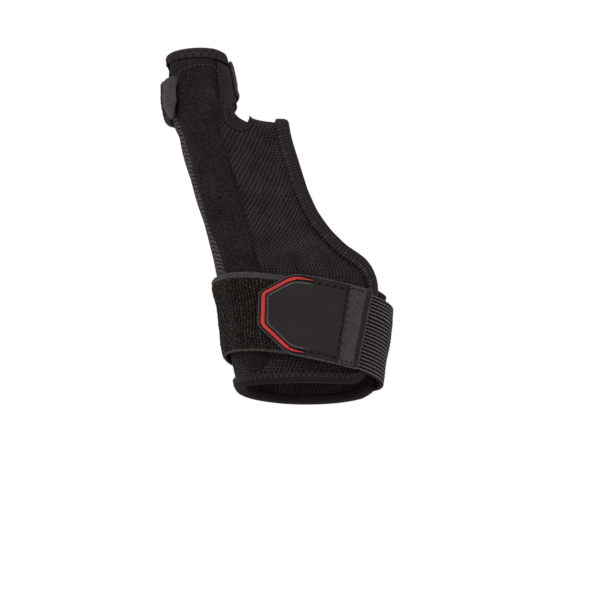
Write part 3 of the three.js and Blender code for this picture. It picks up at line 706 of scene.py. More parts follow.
def from_ends(distances: Array) -> Array:
    """How far each distance is from the nearer end of its run."""
    return np.minimum(distances, distances[-1] - distances)


def filleted(corners: Sequence[tuple[float, float, float]], count: int) -> Array:
    """An open outline with round corners, as evenly spaced points.

    Args:
        corners: x, y and radius of each corner, ends included.
        count: how many steps it is divided into.

    Returns:
        The points, count + 1 of them.
    """
    places = np.array([corner[:2] for corner in corners], float)
    line = [places[0]]
    for k in range(1, len(corners) - 1):
        into = unit(places[k - 1] - places[k])
        out = unit(places[k + 1] - places[k])
        half = math.acos(float(np.clip(into @ out, -1, 1))) / 2
        reach = corners[k][2] / math.tan(half)
        start, end = places[k] + into * reach, places[k] + out * reach
        for t in np.linspace(0, 1, 13):
            line.append((1 - t) ** 2 * start + 2 * t * (1 - t) * places[k] + t * t * end)
    line.append(places[-1])
    return resampled(np.array(line), count)


@dataclass
class Patch:
    """A flat piece of any rounded outline, laid on the form in rings from its rim to its middle line.

    MIDDLE_RIM is the distance from the rim that the middle line counts as, whatever the width.
    """

    MIDDLE_RIM: ClassVar[float] = 20

    name: str
    form: Form
    outline: Array
    place: Callable[[Array, Array], Places]
    base: Callable[[Array, Array], Array]
    profile: Sequence[tuple[float, float]]
    medial: tuple[float, float]
    crown: float = 0.0
    steps: int = 10
    along_axis: int = 0

    def build(self) -> Piece:
        """Models the piece.

        Returns:
            The closed piece, with its distance from the rim stored at each point.
        """
        count = len(self.outline)
        mirrored = self.outline[(-np.arange(count)) % count]
        middle = (self.outline + mirrored) / 2
        middle[:, self.along_axis] = np.clip(middle[:, self.along_axis], *self.medial)
        start_u, start_a = self.place(self.outline[:, 0], self.outline[:, 1])
        middle_u, middle_a = self.place(middle[:, 0], middle[:, 1])
        distances = np.array([d for d, _ in self.profile])
        ring_u, ring_a = self.form.beside(start_u, start_a, distances, closed=True)
        last = self.profile[-1]
        rings = [(ring_u[:, k], ring_a[:, k], h, d) for k, (d, h) in enumerate(self.profile)]
        for step in range(1, self.steps + 1):
            q = step / self.steps
            rise = self.crown * math.sin(q * math.pi / 2)
            u, a = mix(ring_u[:, -1], middle_u, q), mix(ring_a[:, -1], middle_a, q)
            rings.append((u, a, last[1] + rise, last[0] + q * self.MIDDLE_RIM))
        under = [(ring_u[:, 0], ring_a[:, 0], 0.0, 0.0)]
        for q in (0.0, 0.5, 1.0):
            under.append((mix(ring_u[:, -1], middle_u, q), mix(ring_a[:, -1], middle_a, q), 0.0, last[0]))
        points, rims, cloth = [], [], []
        flat = np.concatenate([self.outline, self.outline[:1]])
        for u, a, height, rim in rings[::-1] + under:
            u, a = np.append(u, u[0]), np.append(a, a[0])
            points.append(self.form.over(u, a, self.base(u, a) + height))
            rims.append(np.full(len(u), rim))
            cloth.append(flat)
        piece = Bench.laid(self.name, np.array(points), np.array(cloth), **{RIM_MARK: np.array(rims)})
        Bench.closed(piece)
        return piece


class Thread:
    """Sewing thread: short straight runs, modelled once and copied."""

    SIDES = 6
    RINGS = ((0.0, 0.0), (0.1, 0.75), (0.28, 1.0), (0.72, 1.0), (0.9, 0.75), (1.0, 0.0))

    def __init__(self, radius: float) -> None:
        """Models one run of thread along X, with a length and a radius of 1.

        Args:
            radius: the thread's radius.
        """
        self.radius = radius
        shares = np.array([[share] for share, _ in self.RINGS])
        radii = np.array([[r] for _, r in self.RINGS])
        angles = np.linspace(0, TURN, self.SIDES + 1)[None, :]
        points = np.stack([shares + 0 * angles, radii * np.cos(angles), radii * np.sin(angles)], axis=-1)
        piece = Bench.laid("thread", points / MM)
        Bench.weld(piece, 1.0)
        Bench.edit(piece, lambda: bpy.ops.mesh.normals_make_consistent(inside=False))
        mesh = piece.data
        self.points = np.array([v.co for v in mesh.vertices])
        self.faces = [tuple(p.vertices) for p in mesh.polygons]
        bpy.data.objects.remove(piece)

    def runs(self, name: str, starts: Array, ends: Array, ups: Array) -> Piece:
        """Lays one run of thread from each start to its end.

        Args:
            name: the piece's name.
            starts: where the runs start, in millimetres.
            ends: where they end.
            ups: the directions out of the cloth there.

        Returns:
            All the runs as one piece.
        """
        starts, ends, ups = (np.asarray(v, float).reshape(-1, 3) for v in (starts, ends, ups))
        along = ends - starts
        side = unit(np.cross(ups, along)) * self.radius
        up = unit(np.cross(along, side)) * self.radius
        x, y, z = (self.points[None, :, axis, None] for axis in range(3))
        places = starts[:, None] + x * along[:, None] + y * side[:, None] + z * up[:, None]
        count = len(self.points)
        faces = [tuple(k * count + i for i in face) for k in range(len(starts)) for face in self.faces]
        mesh = bpy.data.meshes.new(name)
        mesh.from_pydata((places.reshape(-1, 3) * MM).tolist(), [], faces)
        mesh.update()
        piece = bpy.data.objects.new(name, mesh)
        bpy.context.scene.collection.objects.link(piece)
        Bench.edit(piece, lambda: bpy.ops.mesh.normals_make_consistent(inside=False))
        Bench.only(piece)
        bpy.ops.object.shade_smooth()
        return piece


Operand = Union["Signal", float]


class Signal:
    """A number that changes over a surface: a node's socket with arithmetic."""

    def __init__(self, paint: "Paint", socket: bpy.types.NodeSocket) -> None:
        """Wraps a socket of a paint's nodes."""
        self.paint = paint
        self.socket = socket

    def maths(self, operation: str, *operands: Operand) -> "Signal":
        """The result of a new Math node on these inputs, in order."""
        made = self.paint.node("ShaderNodeMath", {"operation": operation}, dict(enumerate(operands)))
        return Signal(self.paint, made.outputs[0])

    def __add__(self, other: Operand) -> "Signal":
        """The sum."""
        return self.maths("ADD", self, other)

    __radd__ = __add__

    def __sub__(self, other: Operand) -> "Signal":
        """The difference."""
        return self.maths("SUBTRACT", self, other)

    def __rsub__(self, other: Operand) -> "Signal":
        """The difference, with the number first."""
        return self.maths("SUBTRACT", other, self)

    def __mul__(self, other: Operand) -> "Signal":
        """The product."""
        return self.maths("MULTIPLY", self, other)

    __rmul__ = __mul__

    def __pow__(self, other: Operand) -> "Signal":
        """The power."""
        return self.maths("POWER", self, other)

    def wave(self, pitch: float, shift: Operand = 0.0) -> "Signal":
        """A wave of this pitch, between 0 and 1."""
        turn = self * (TURN / pitch) + shift
        return turn.maths("COSINE", turn) * 0.5 + 0.5

    def step(self, low: float, high: float) -> "Signal":
        """A smooth step from 0 at low to 1 at high, either way round."""
        settings = {"interpolation_type": "SMOOTHSTEP"}
        values = {"Value": self, "From Min": low, "From Max": high}
        return Signal(self.paint, self.paint.node("ShaderNodeMapRange", settings, values).outputs[0])


class Wiring:
    """One tree of nodes."""

    def __init__(self, tree: bpy.types.NodeTree) -> None:
        """Takes a tree to add nodes to."""
        self.tree = tree

    def node(self, kind: str, settings: dict | None = None, values: dict | None = None) -> bpy.types.Node:
        """Adds a node.

        Args:
            kind: the node's type.
            settings: its own settings, set first.
            values: values or links of its sockets, by name or number.

        Returns:
            The node.
        """
        made = self.tree.nodes.new(kind)
        for name, value in (settings or {}).items():
            setattr(made, name, value)
        for name, value in (values or {}).items():
            self.feed(made.inputs[name], value)
        return made

    def feed(self, socket: bpy.types.NodeSocket, value: object) -> None:
        """Links a socket to a signal or another socket, or sets its value."""
        if isinstance(value, Signal):
            value = value.socket
        if isinstance(value, bpy.types.NodeSocket):
            self.tree.links.new(value, socket)
        else:
            socket.default_value = value


class Paint(Wiring):
    """The nodes of one material."""

    def __init__(self, name: str) -> None:
        """Starts a material with its one shader."""
        self.material = bpy.data.materials.new(name)
        self.material.use_nodes = True
        super().__init__(self.material.node_tree)
        self.shader = self.tree.nodes["Principled BSDF"]

    def cloth(self) -> tuple[Signal, Signal]:
        """The flat cloth's two coordinates, in millimetres."""
        place = self.node("ShaderNodeUVMap", {"uv_map": CLOTH_MAP}).outputs[0]
        split = self.node("ShaderNodeSeparateXYZ", None, {0: place})
        return Signal(self, split.outputs[0]), Signal(self, split.outputs[1])

    def space(self) -> bpy.types.NodeSocket:
        """The place in the object's own frame, in millimetres."""
        place = self.node("ShaderNodeTexCoord").outputs["Object"]
        scaled = self.node("ShaderNodeVectorMath", {"operation": "SCALE"}, {"Vector": place, "Scale": 1 / MM})
        return scaled.outputs[0]

    def sideways(self) -> Signal:
        """The place along the object's X, in millimetres."""
        return Signal(self, self.node("ShaderNodeSeparateXYZ", None, {0: self.space()}).outputs[0])

    def marked(self, name: str) -> Signal:
        """A number stored at the piece's points."""
        return Signal(self, self.node("ShaderNodeAttribute", {"attribute_name": name}).outputs["Fac"])

    def noise(self, size: float, detail: float = 2, roughness: float = 0.5) -> Signal:
        """Noise in space whose spots are about this many millimetres."""
        values = {"Vector": self.space(), "Scale": 1 / size, "Detail": detail, "Roughness": roughness}
        return Signal(self, self.node("ShaderNodeTexNoise", None, values).outputs[0])

    def cells(self, size: float, feature: str) -> Signal:
        """Distance in cells about this many millimetres wide, from a point or from an edge."""
        values = {"Vector": self.space(), "Scale": 1 / size}
        made = self.node("ShaderNodeTexVoronoi", {"feature": feature}, values)
        return Signal(self, made.outputs["Distance"])

    def blend(self, share: Operand, first: object, second: object) -> bpy.types.NodeSocket:
        """A colour that goes from the first to the second as share goes from 0 to 1."""
        colours = [(*c, 1) if isinstance(c, tuple) else c for c in (first, second)]
        values = {0: share, 6: colours[0], 7: colours[1]}
        return self.node("ShaderNodeMix", {"data_type": "RGBA"}, values).outputs[2]

    def relief(self, height: Signal, strength: float = 1.0) -> None:
        """Roughens the surface by a height in millimetres."""
        values = {"Height": height, "Strength": strength, "Distance": MM}
        self.feed(self.shader.inputs["Normal"], self.node("ShaderNodeBump", None, values).outputs[0])

    def surface(self, colour: object, roughness: Operand, gloss: float) -> bpy.types.Material:
        """Sets the shader.

        Args:
            colour: the base colour, a colour or a socket.
            roughness: its roughness.
            gloss: its specular level, the same all over.

        Returns:
            The finished material.
        """
        self.feed(self.shader.inputs["Base Color"], (*colour, 1) if isinstance(colour, tuple) else colour)
        self.feed(self.shader.inputs["Roughness"], roughness)
        self.shader.inputs["Specular IOR Level"].default_value = gloss
        return self.material


@dataclass(frozen=True)
class Finish:
    """A named finish, painted the first time it is asked for."""

    name: str

    def paint(self, paint: Paint) -> bpy.types.Material:
        """Paints the finish's nodes."""
        raise NotImplementedError

    def material(self) -> bpy.types.Material:
        """The finish's material."""
        return bpy.data.materials.get(self.name) or self.paint(Paint(self.name))


@dataclass(frozen=True)
class SpacerMesh(Finish):
    """Spacer mesh: a net of fine threads round small open diamonds in painted shade, with painted highlights
    on the threads and plain tape where marked.
    """

    thread: Colour = (0.0315, 0.0232, 0.025)
    # painted shade: the colour of the open diamonds
    hollow_shade: Colour = (0.0035, 0.0026, 0.0026)
    tape: Colour = (0.029, 0.0213, 0.0232)
    # painted highlight on the threads
    light: Colour = (0.125, 0.098, 0.112)
    pitch_across: float = 1.8
    pitch_along: float = 3.2
    drawn_pitch: float = 2.3

    def paint(self, paint: Paint) -> bpy.types.Material:
        """Paints the net, with painted shade in its open diamonds and on dull yarn and painted highlights on
        lit yarn, most on the drawn strip beside the pocket, and, where the points are marked smooth, the
        tape.
        """
        x, y = paint.cloth()
        stray = paint.noise(3.1)
        x = x + (stray - 0.5) * 0.9
        y = y + (paint.noise(2.3) - 0.5) * 0.9
        lattice = (x.wave(self.pitch_across) * 2 - 1) * (y.wave(self.pitch_along) * 2 - 1)
        smooth = paint.marked(SMOOTH_MARK)
        drawn = paint.marked(DRAWN_MARK)
        lines = (y - x * 0.5).wave(self.drawn_pitch) * 2 - 1
        net = lattice * (1 - drawn) + lines * 0.8 * drawn
        # painted shade: the open diamonds take the dark diamond colour
        hollow_shade = (net + (paint.noise(0.9, 1) - 0.5) * 1.1).step(0.1, 0.85) * (1 - smooth)
        fibre = paint.noise(0.32)
        # painted light: patches of lit yarn, more of them on the drawn strip beside the pocket
        lit = fibre * 0.9 + paint.noise(9) * 0.5 - 0.2 + drawn * 0.22
        yarn = paint.blend(smooth, self.thread, self.tape)
        # painted shade on dull yarn, painted highlight toward the light colour on lit yarn
        dull = paint.blend(0.6, yarn, self.hollow_shade)
        yarn = paint.blend(lit.step(0.2, 0.85), dull, paint.blend(drawn * 0.3 + 0.33, yarn, self.light))
        colour = paint.blend(hollow_shade, yarn, self.hollow_shade)
        paint.relief((1 - hollow_shade) * 0.5 + fibre * 0.14 + (x.wave(0.7) + y.wave(0.62)) * 0.05 * (1 - smooth))
        return paint.surface(colour, 0.82 + hollow_shade * 0.15, 0.05)


@dataclass(frozen=True)
class BindingTape(Finish):
    """Stretch tape: a fine close knit with a soft low shine."""

    colour: Colour = (0.042, 0.0315, 0.0345)
    shade: Colour = (0.0155, 0.0115, 0.0127)

    def paint(self, paint: Paint) -> bpy.types.Material:
        """Paints the knit's fine ribs and slow changes of shade."""
        x, y = paint.cloth()
        knit = x.wave(0.52) * 0.5 + y.wave(0.6, 1.1) * 0.5
        mottle = paint.noise(0.5, 3)
        slow = paint.noise(14)
        tone = (knit * 0.35 + mottle * 0.55 + slow * 0.3).step(0.15, 0.95)
        colour = paint.blend(tone, self.shade, self.colour)
        paint.relief(knit * 0.06 + mottle * 0.11)
        return paint.surface(colour, 0.72 + mottle * 0.15, 0.06)


@dataclass(frozen=True)
class BrushedCloth(Finish):
    """Brushed pile: short raised fibres that swallow light."""

    colour: Colour = (0.042, 0.0312, 0.032)
    dark: Colour = (0.005, 0.0036, 0.0036)

    def paint(self, paint: Paint) -> bpy.types.Material:
        """Paints specks of fibre over slow patches where the pile lies another way."""
        fibre = paint.noise(0.62, 2, 0.7)
        tuft = paint.noise(1.1)
        lay = paint.noise(11)
        shade = (fibre * 0.9 + tuft * 0.3 + lay * 0.25 - 0.2).step(0.28, 0.8)
        paint.relief(fibre * 0.34 + tuft * 0.1)
        return paint.surface(paint.blend(shade, self.dark, self.colour), 0.95, 0.03)


@dataclass(frozen=True)
class LoopPile(Finish):
    """Hook-holding pile: a dark ground with lit tips of loops in columns, and a woven selvedge."""

    ground: Colour = (0.005, 0.0037, 0.0029)
    tip: Colour = (0.155, 0.13, 0.117)
    woven: Colour = (0.2, 0.172, 0.178)
    selvedge_width: float = 2.6
    lower_selvedge: float = 1.2
    column: float = 1.5
    loop: float = 1.15

    def paint(self, paint: Paint) -> bpy.types.Material:
        """Paints loops in the field and a finer, lighter weave along the rim."""
        along, across = paint.cloth()
        rim = paint.marked(RIM_MARK)
        upper = rim.step(self.selvedge_width + 0.5, self.selvedge_width - 0.3) * across.step(-1, 1)
        lower = rim.step(self.lower_selvedge + 0.3, self.lower_selvedge - 0.2) * across.step(1, -1)
        edge = upper + lower
        strands = paint.noise(0.4, 3, 0.65)
        along = along + (paint.noise(1.3) - 0.5) * 1.9
        across = across + (paint.noise(1.5) - 0.5) * 1.7
        columns = along.wave(self.column)
        loops = (columns * across.wave(self.loop, along * (TURN / self.column / 2))).step(0.3, 0.85)
        lit = loops * strands.step(0.3, 0.62) * 0.8 + strands * 0.06
        weave = (along + across).wave(1.0) * strands.step(0.25, 0.7) * 0.62 + 0.13
        shade = lit * (1 - edge) + weave * edge
        paint.relief(loops * 0.36 * (1 - edge * 0.6) + strands * 0.16)
        tip = paint.blend(edge, self.tip, self.woven)
        return paint.surface(paint.blend(shade, self.ground, tip), 0.92, 0.04)


@dataclass(frozen=True)
class RibbedElastic(Finish):
    """Woven elastic: lengthwise cords with deep grooves between, crossed by fine picks."""

    # painted highlight on the cords' crowns
    top: Colour = (0.22, 0.186, 0.179)
    # painted shade in the grooves
    groove_shade: Colour = (0.004, 0.003, 0.0027)
    pitch: float = 38.4 / 22
    pick: float = 1.5

    def paint(self, paint: Paint) -> bpy.types.Material:
        """Paints each cord with a painted highlight on its crown and painted shade at its sides and in the
        grooves, notched by the picks.
        """
        along, across = paint.cloth()
        stray = paint.noise(1.2)
        cord = across.wave(self.pitch)
        pick = (along + (stray - 0.5) * 0.3).wave(self.pick, across * (TURN / self.pitch / 2))
        fuzz = paint.noise(0.3)
        # painted light: each cord lit on its crown and shaded toward the grooves
        shade = (cord ** 2.4) * (0.16 + pick * 0.84) * (0.5 + fuzz * 0.8)
        paint.relief(cord * 0.12 + pick * cord * 0.12 + fuzz * 0.06)
        return paint.surface(paint.blend(shade, self.groove_shade, self.top), 0.6 + fuzz * 0.2, 0.12)


@dataclass(frozen=True)
class SmoothVinyl(Finish):
    """Coated fabric with fine ribs and a matt, very fine pebble."""

    colour: Colour = (0.034, 0.0262, 0.027)
    deep: Colour = (0.0225, 0.0175, 0.018)
    # painted highlight on the raised lip and the raised inner line
    highlight_colour: Colour = (0.17, 0.148, 0.155)
    # painted shade in the channel round the tip
    channel: Colour = (0.006, 0.006, 0.0068)
    rib: float = 1.05
    tip_length: float = 22

    def paint(self, paint: Paint) -> bpy.types.Material:
        """Paints fine upright ribs, a dark channel round the tip as painted shade in the groove by the red
        line, and painted highlights, in patches, on the raised lip and inner line.
        """
        along, _ = paint.cloth()
        pebble = paint.cells(0.32, "SMOOTH_F1")
        slow = paint.noise(16, 3)
        rim = paint.marked(RIM_MARK)
        tip = along.step(self.tip_length + 2.5, self.tip_length - 2.5)
        # painted highlight on the raised lip and on the raised inner line near the tip, broken into patches
        highlight_patches = paint.noise(1.5).step(0.3, 0.65) * 0.6 + 0.4
        ridge_highlight = rim.step(0.75, 0.2) * 0.6 + rim.step(3.55, 3.8) * rim.step(4.45, 4.2) * tip * 0.75
        # painted shade in the groove round the red line
        channel = rim.step(0.8, 1.05) * rim.step(3.6, 3.2) * tip
        ribs = paint.sideways().wave(self.rib)
        colour = paint.blend(slow * 0.5 + ribs * 0.35 + pebble * 0.2, self.colour, self.deep)
        colour = paint.blend(channel * 0.9, colour, self.channel)
        paint.relief(pebble * 0.035 + paint.noise(1.6) * 0.02 + ribs * 0.02)
        return paint.surface(paint.blend(ridge_highlight * highlight_patches, colour, self.highlight_colour), 0.58 + slow * 0.12, 0.08)


@dataclass(frozen=True)
class GrainedVinyl(Finish):
    """Coated fabric with a leather grain of small raised islands."""

    colour: Colour = (0.108, 0.09, 0.098)
    crease: Colour = (0.02, 0.0165, 0.018)
    size: float = 0.95

    def paint(self, paint: Paint) -> bpy.types.Material:
        """Paints the islands, darker in the creases between them."""
        islands = paint.cells(self.size, "DISTANCE_TO_EDGE").step(0.02, 0.2)
        fine = paint.noise(0.28)
        slow = paint.noise(5)
        paint.relief(islands * 0.09 + fine * 0.05)
        shade = islands * 0.4 + slow * 0.45 + fine * 0.3 - 0.12
        return paint.surface(paint.blend(shade, self.crease, self.colour), 0.58 + fine * 0.15, 0.05)


@dataclass(frozen=True)
class RedTrim(Finish):
    """Moulded red line with a faint grain."""

    colour: Colour = (0.64, 0.06, 0.06)
    dark: Colour = (0.52, 0.046, 0.046)

    def paint(self, paint: Paint) -> bpy.types.Material:
        """Paints a slightly uneven red."""
        slow = paint.noise(2.4)
        paint.relief(paint.noise(0.4) * 0.03)
        return paint.surface(paint.blend(slow * 0.7, self.colour, self.dark), 0.5 + slow * 0.1, 0.02)


@dataclass(frozen=True)
class SewingThread(Finish):
    """Twisted filament thread."""

    colour: Colour = (0.17, 0.138, 0.152)
    dark: Colour = (0.065, 0.05, 0.056)

    def paint(self, paint: Paint) -> bpy.types.Material:
        """Paints the ply's light and dark."""
        ply = paint.noise(0.22)
        paint.relief(ply * 0.05)
        return paint.surface(paint.blend(ply.step(0.3, 0.7), self.dark, self.colour), 0.6, 0.12)


@dataclass(frozen=True)
class StudioFloor(Finish):
    """Pale seamless paper."""

    colour: Colour = (0.76, 0.76, 0.76)
    dark: Colour = (0.72, 0.72, 0.72)

    def paint(self, paint: Paint) -> bpy.types.Material:
        """Paints paper with hardly any change of tone."""
        return paint.surface(paint.blend(paint.noise(60) * 0.3, self.colour, self.dark), 0.9, 0.2)


MESH_CLOTH = SpacerMesh("spacer_mesh")
TAPE = BindingTape("binding_tape", colour=(0.031, 0.023, 0.0255), shade=(0.0085, 0.0062, 0.0068))
BRUSHED = BrushedCloth("brushed_cloth")
LOOPS = LoopPile("loop_pile")
ELASTIC = RibbedElastic("ribbed_elastic")
VINYL = SmoothVinyl("tab_coating")
GRAIN = GrainedVinyl("grained_coating")
TRIM = RedTrim("red_moulding")
# the binding tape at its lighter default colours: painted light on the sleeve's rolled top edge
RIM_TAPE_PAINTED_LIGHT = BindingTape("rim_tape_painted_light")
# a darker copy of the binding tape: painted shade on the hem, which faces down under the strap
HEM_TAPE_PAINTED_SHADE = BindingTape("hem_tape_painted_shade", colour=(0.026, 0.019, 0.0172), shade=(0.012, 0.0085, 0.0076))
THREAD = SewingThread("sewing_thread")
DULL_THREAD = SewingThread("dull_thread", colour=(0.095, 0.073, 0.08), dark=(0.04, 0.03, 0.033))
DARK_THREAD = SewingThread("dark_thread", colour=(0.009, 0.0068, 0.0068), dark=(0.003, 0.0025, 0.0025))


@dataclass
class SubAssembly:
    """A group of pieces that are made together on the form."""

    form: Form

    @property
    def sizes(self) -> Sizes:
        """The driving sizes."""
        return self.form.sizes

    def dress(self, piece: Piece, finish: Finish, slot: str | None = None,
              stands_for: str | None = None) -> Piece:
        """Gives a piece its finish and its place in the part.

        Args:
            piece: the finished mesh.
            finish: what it is made of.
            slot: the record's material slot, where it has one; not used.
            stands_for: the solid that it replaces, if any.

        Returns:
            The piece.
        """
        piece.data.materials.clear()
        piece.data.materials.append(finish.material())
        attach(piece, BODY)
        if stands_for:
            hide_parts(stands_for)
        LOG.info("%s: %d faces", piece.name, len(piece.data.polygons))
        return piece

    def sewn(self, name: str, starts: Array, ends: Array, ups: Array, radius: float,
             thread: Finish = THREAD) -> Piece:
        """Lays and dresses a row of stitches."""
        return self.dress(Thread(radius).runs(name, starts, ends, ups), thread)

    def dashed(self, name: str, points: Array, ups: Array, share: float, radius: float,
               thread: Finish = THREAD, kept: Array | slice = slice(None)) -> None:
        """Sews a dash from each kept point, a share of the way to the next one."""
        starts = points[:-1]
        ends = mix(starts, points[1:], share)
        self.sewn(name, starts[kept], ends[kept], ups[:-1][kept], radius, thread)

    def patched(self, patch: Patch, finish: Finish, slot: str, stands_for: str) -> None:
        """Models and dresses a flat patch."""
        piece = patch.build()
        Bench.smooth(piece, 70)
        self.dress(piece, finish, slot, stands_for)

    def oval(self, turn: Array, margin: float) -> tuple[Array, Array]:
        """X and z of the outline of the hole and its mouth, grown by a margin.

        Args:
            turn: angles round a point that both share.
            margin: how much they are grown.

        Returns:
            The outline's x and z.
        """
        s = self.sizes
        centre = (s.mouth_right * 0.6, s.mouth_up * 0.6)
        across, up = math.cos(s.hole_tilt), math.sin(s.hole_tilt)
        reach = np.zeros(turn.shape)
        ovals = (
            (0.0, 0.0, s.hole_half_width, s.hole_half_height),
            (s.mouth_right, s.mouth_up, s.mouth_half_width, s.mouth_half_height),
        )
        for x, z, half_width, half_height in ovals:
            off = (centre[0] - x, centre[1] - z)
            start = (off[0] * across + off[1] * up, off[1] * across - off[0] * up)
            ray = (np.cos(turn) * across + np.sin(turn) * up, np.sin(turn) * across - np.cos(turn) * up)
            wide, high = half_width + margin, half_height + margin
            a = (ray[0] / wide) ** 2 + (ray[1] / high) ** 2
            b = start[0] * ray[0] / wide ** 2 + start[1] * ray[1] / high ** 2
            c = (start[0] / wide) ** 2 + (start[1] / high) ** 2 - 1
            reach = np.maximum(reach, (-b + np.sqrt(b * b - a * c)) / a)
        return s.hole_x + centre[0] + reach * np.cos(turn), s.hole_z + centre[1] + reach * np.sin(turn)

    def hole_tool(self, outer: float, inner: float | None = None, open_side: float = 0.0) -> Piece:
        """A column through the hole, grown by a margin, or a pipe between two margins.

        Args:
            outer: the outer margin.
            inner: the pipe's inner margin, none for a column.
            open_side: how much of the outer margin goes on the finger side.

        Returns:
            The closed tool.
        """
        turn = np.linspace(0, TURN, 73)
        off_side = np.abs((turn - math.radians(20) + math.pi) % TURN - math.pi)
        outer = outer * (1 - open_side * (1 - ease(math.radians(45), math.radians(85), off_side)))
        s = self.sizes
        reach = 2 * s.wrist_depth

        def ring(margin: Array, y: float) -> Array:
            """The outline's points at a depth, grown by a margin."""
            x, z = self.oval(turn, margin)
            return np.stack([x, np.full(x.shape, y), z], axis=1)

        front, rear = ring(outer, -reach), ring(outer, reach)
        if inner is None:
            ends = [np.full(front.shape, (s.hole_x, y, s.hole_z)) for y in (-reach, reach)]
            rings = [ends[0], front, rear, ends[1]]
        else:
            rings = [front, rear, ring(inner, reach), ring(inner, -reach), front]
        tool = Bench.laid("hole_tool", np.array(rings))
        Bench.closed(tool)
        return tool


@dataclass
class FabricShell(SubAssembly):
    """The open sheet of spacer mesh, closed above the web, with its hole."""

    columns: int = 168
    row_spacing: float = 1.05
    flat_width: float = 0.2
    flat_length: float = 0.182
    flat_area: float = 0.0262
    wrist_middle: Colour = (-0.02, 0.0, 0.0)
    judged_height: float = 0.01

    def edges(self) -> tuple[float, Callable[[Array], Array], Callable[[Array], Array]]:
        """The sheet's own edge, a little in from the free edge that its binding makes.

        Returns:
            The row where it closes, and functions for its first and last angle in a row.
        """
        s = self.sizes
        back, palm, _ = self.form.free_edge()
        run = self.form.evenly(np.concatenate([back[0], palm[0]]), np.concatenate([back[1], palm[1]]), 1.0)
        inset = self.form.beside(*run, np.array([s.binding_wall + s.edge_gap]))
        u, angle = inset[0][:, 0], inset[1][:, 0]

        def reader(rows: Array, angles: Array) -> Callable[[Array], Array]:
            """Reads an edge's angle in a row, 0 above the closing row."""
            order = np.argsort(rows)
            return lambda at: np.interp(at, rows[order], angles[order], right=0.0)

        on_back = angle > 0
        first = reader(u[on_back], angle[on_back])
        last = reader(u[~on_back], angle[~on_back])
        return float(u.max()), first, lambda at: TURN + last(at)

    def rows(self, closing: float) -> Array:
        """The sheet's rows, closer together just below where it closes."""
        s = self.sizes
        start = float(self.form.row_for_height(-s.cuff_drop + s.binding_wall + s.leaf_gap, math.pi))
        u = np.linspace(start, self.form.sleeve_top, 800)
        u, _ = self.form.evenly(u, np.full(len(u), math.pi), self.row_spacing)
        crowded = closing - np.array([0.0, 0.004, 0.016, 0.036, 0.065, 0.1, 0.15])
        near = np.abs(u[:, None] - crowded[None, :]).min(axis=1) > 0.03
        return np.sort(np.concatenate([u[near], crowded]))

    def build(self) -> None:
        """Models the sheet, gives it its wall and cuts its hole."""
        closing, first, last = self.edges()
        u = self.rows(closing)
        start = np.where(u < closing, first(u), 0.0)
        end = np.where(u < closing, last(u), TURN)
        share = np.linspace(0, 1, self.columns + 1)
        angle = mix(start[:, None], end[:, None], share[None, :])
        rows = np.repeat(u[:, None], self.columns + 1, axis=1)
        points = self.form.over(rows, angle, np.zeros(rows.shape))
        marks = {SMOOTH_MARK: self.smooth_share(points, rows), DRAWN_MARK: self.drawn_share(points, angle)}
        piece = Bench.laid("spacer_mesh_shell", points, self.flat_places(points), **marks)
        Bench.weld(piece)
        Bench.face_out(piece, Vector(self.wrist_middle), self.judged_height)
        Bench.modify(piece, "SOLIDIFY", thickness=self.sizes.shell_wall * MM, offset=-1.0)
        Bench.cut(piece, self.hole_tool(0), "DIFFERENCE")
        Bench.smooth(piece, 60)
        self.dress(piece, MESH_CLOTH, "mesh_fabric", "fabric_shell")

    @staticmethod
    def flat_places(points: Array) -> Array:
        """Flat cloth places: distance round each row from its middle, and up each column."""
        steps = np.linalg.norm(np.diff(points, axis=1), axis=2)
        across = np.concatenate([np.zeros((len(points), 1)), np.cumsum(steps, axis=1)], axis=1)
        across = across - across[:, across.shape[1] // 2][:, None]
        rises = np.linalg.norm(np.diff(points, axis=0), axis=2)
        along = np.concatenate([np.zeros((1, points.shape[1])), np.cumsum(rises, axis=0)], axis=0)
        return np.stack([across, along], axis=2)

    def smooth_share(self, points: Array, rows: Array) -> Array:
        """Marks the sleeve's finger side, where the cloth is a plain tape."""
        _, right = self.form.pocket_sides(points[..., 2])
        beside = ease(-1.0, 0.5, points[..., 0] - right)
        high = ease(self.sizes.hole_z - 8, self.sizes.hole_z - 2, points[..., 2])
        return beside * high * (rows > self.form.closing - 1.2)

    def drawn_share(self, points: Array, angle: Array) -> Array:
        """Marks the thumb side beside the pocket, where the net is pulled into lines."""
        left, _ = self.form.pocket_sides(points[..., 2])
        beside = ease(-0.5, 0.8, left - points[..., 0])
        return beside * ease(-0.4, 0.0, np.sin(angle)) * ease(15, 30, points[..., 2])


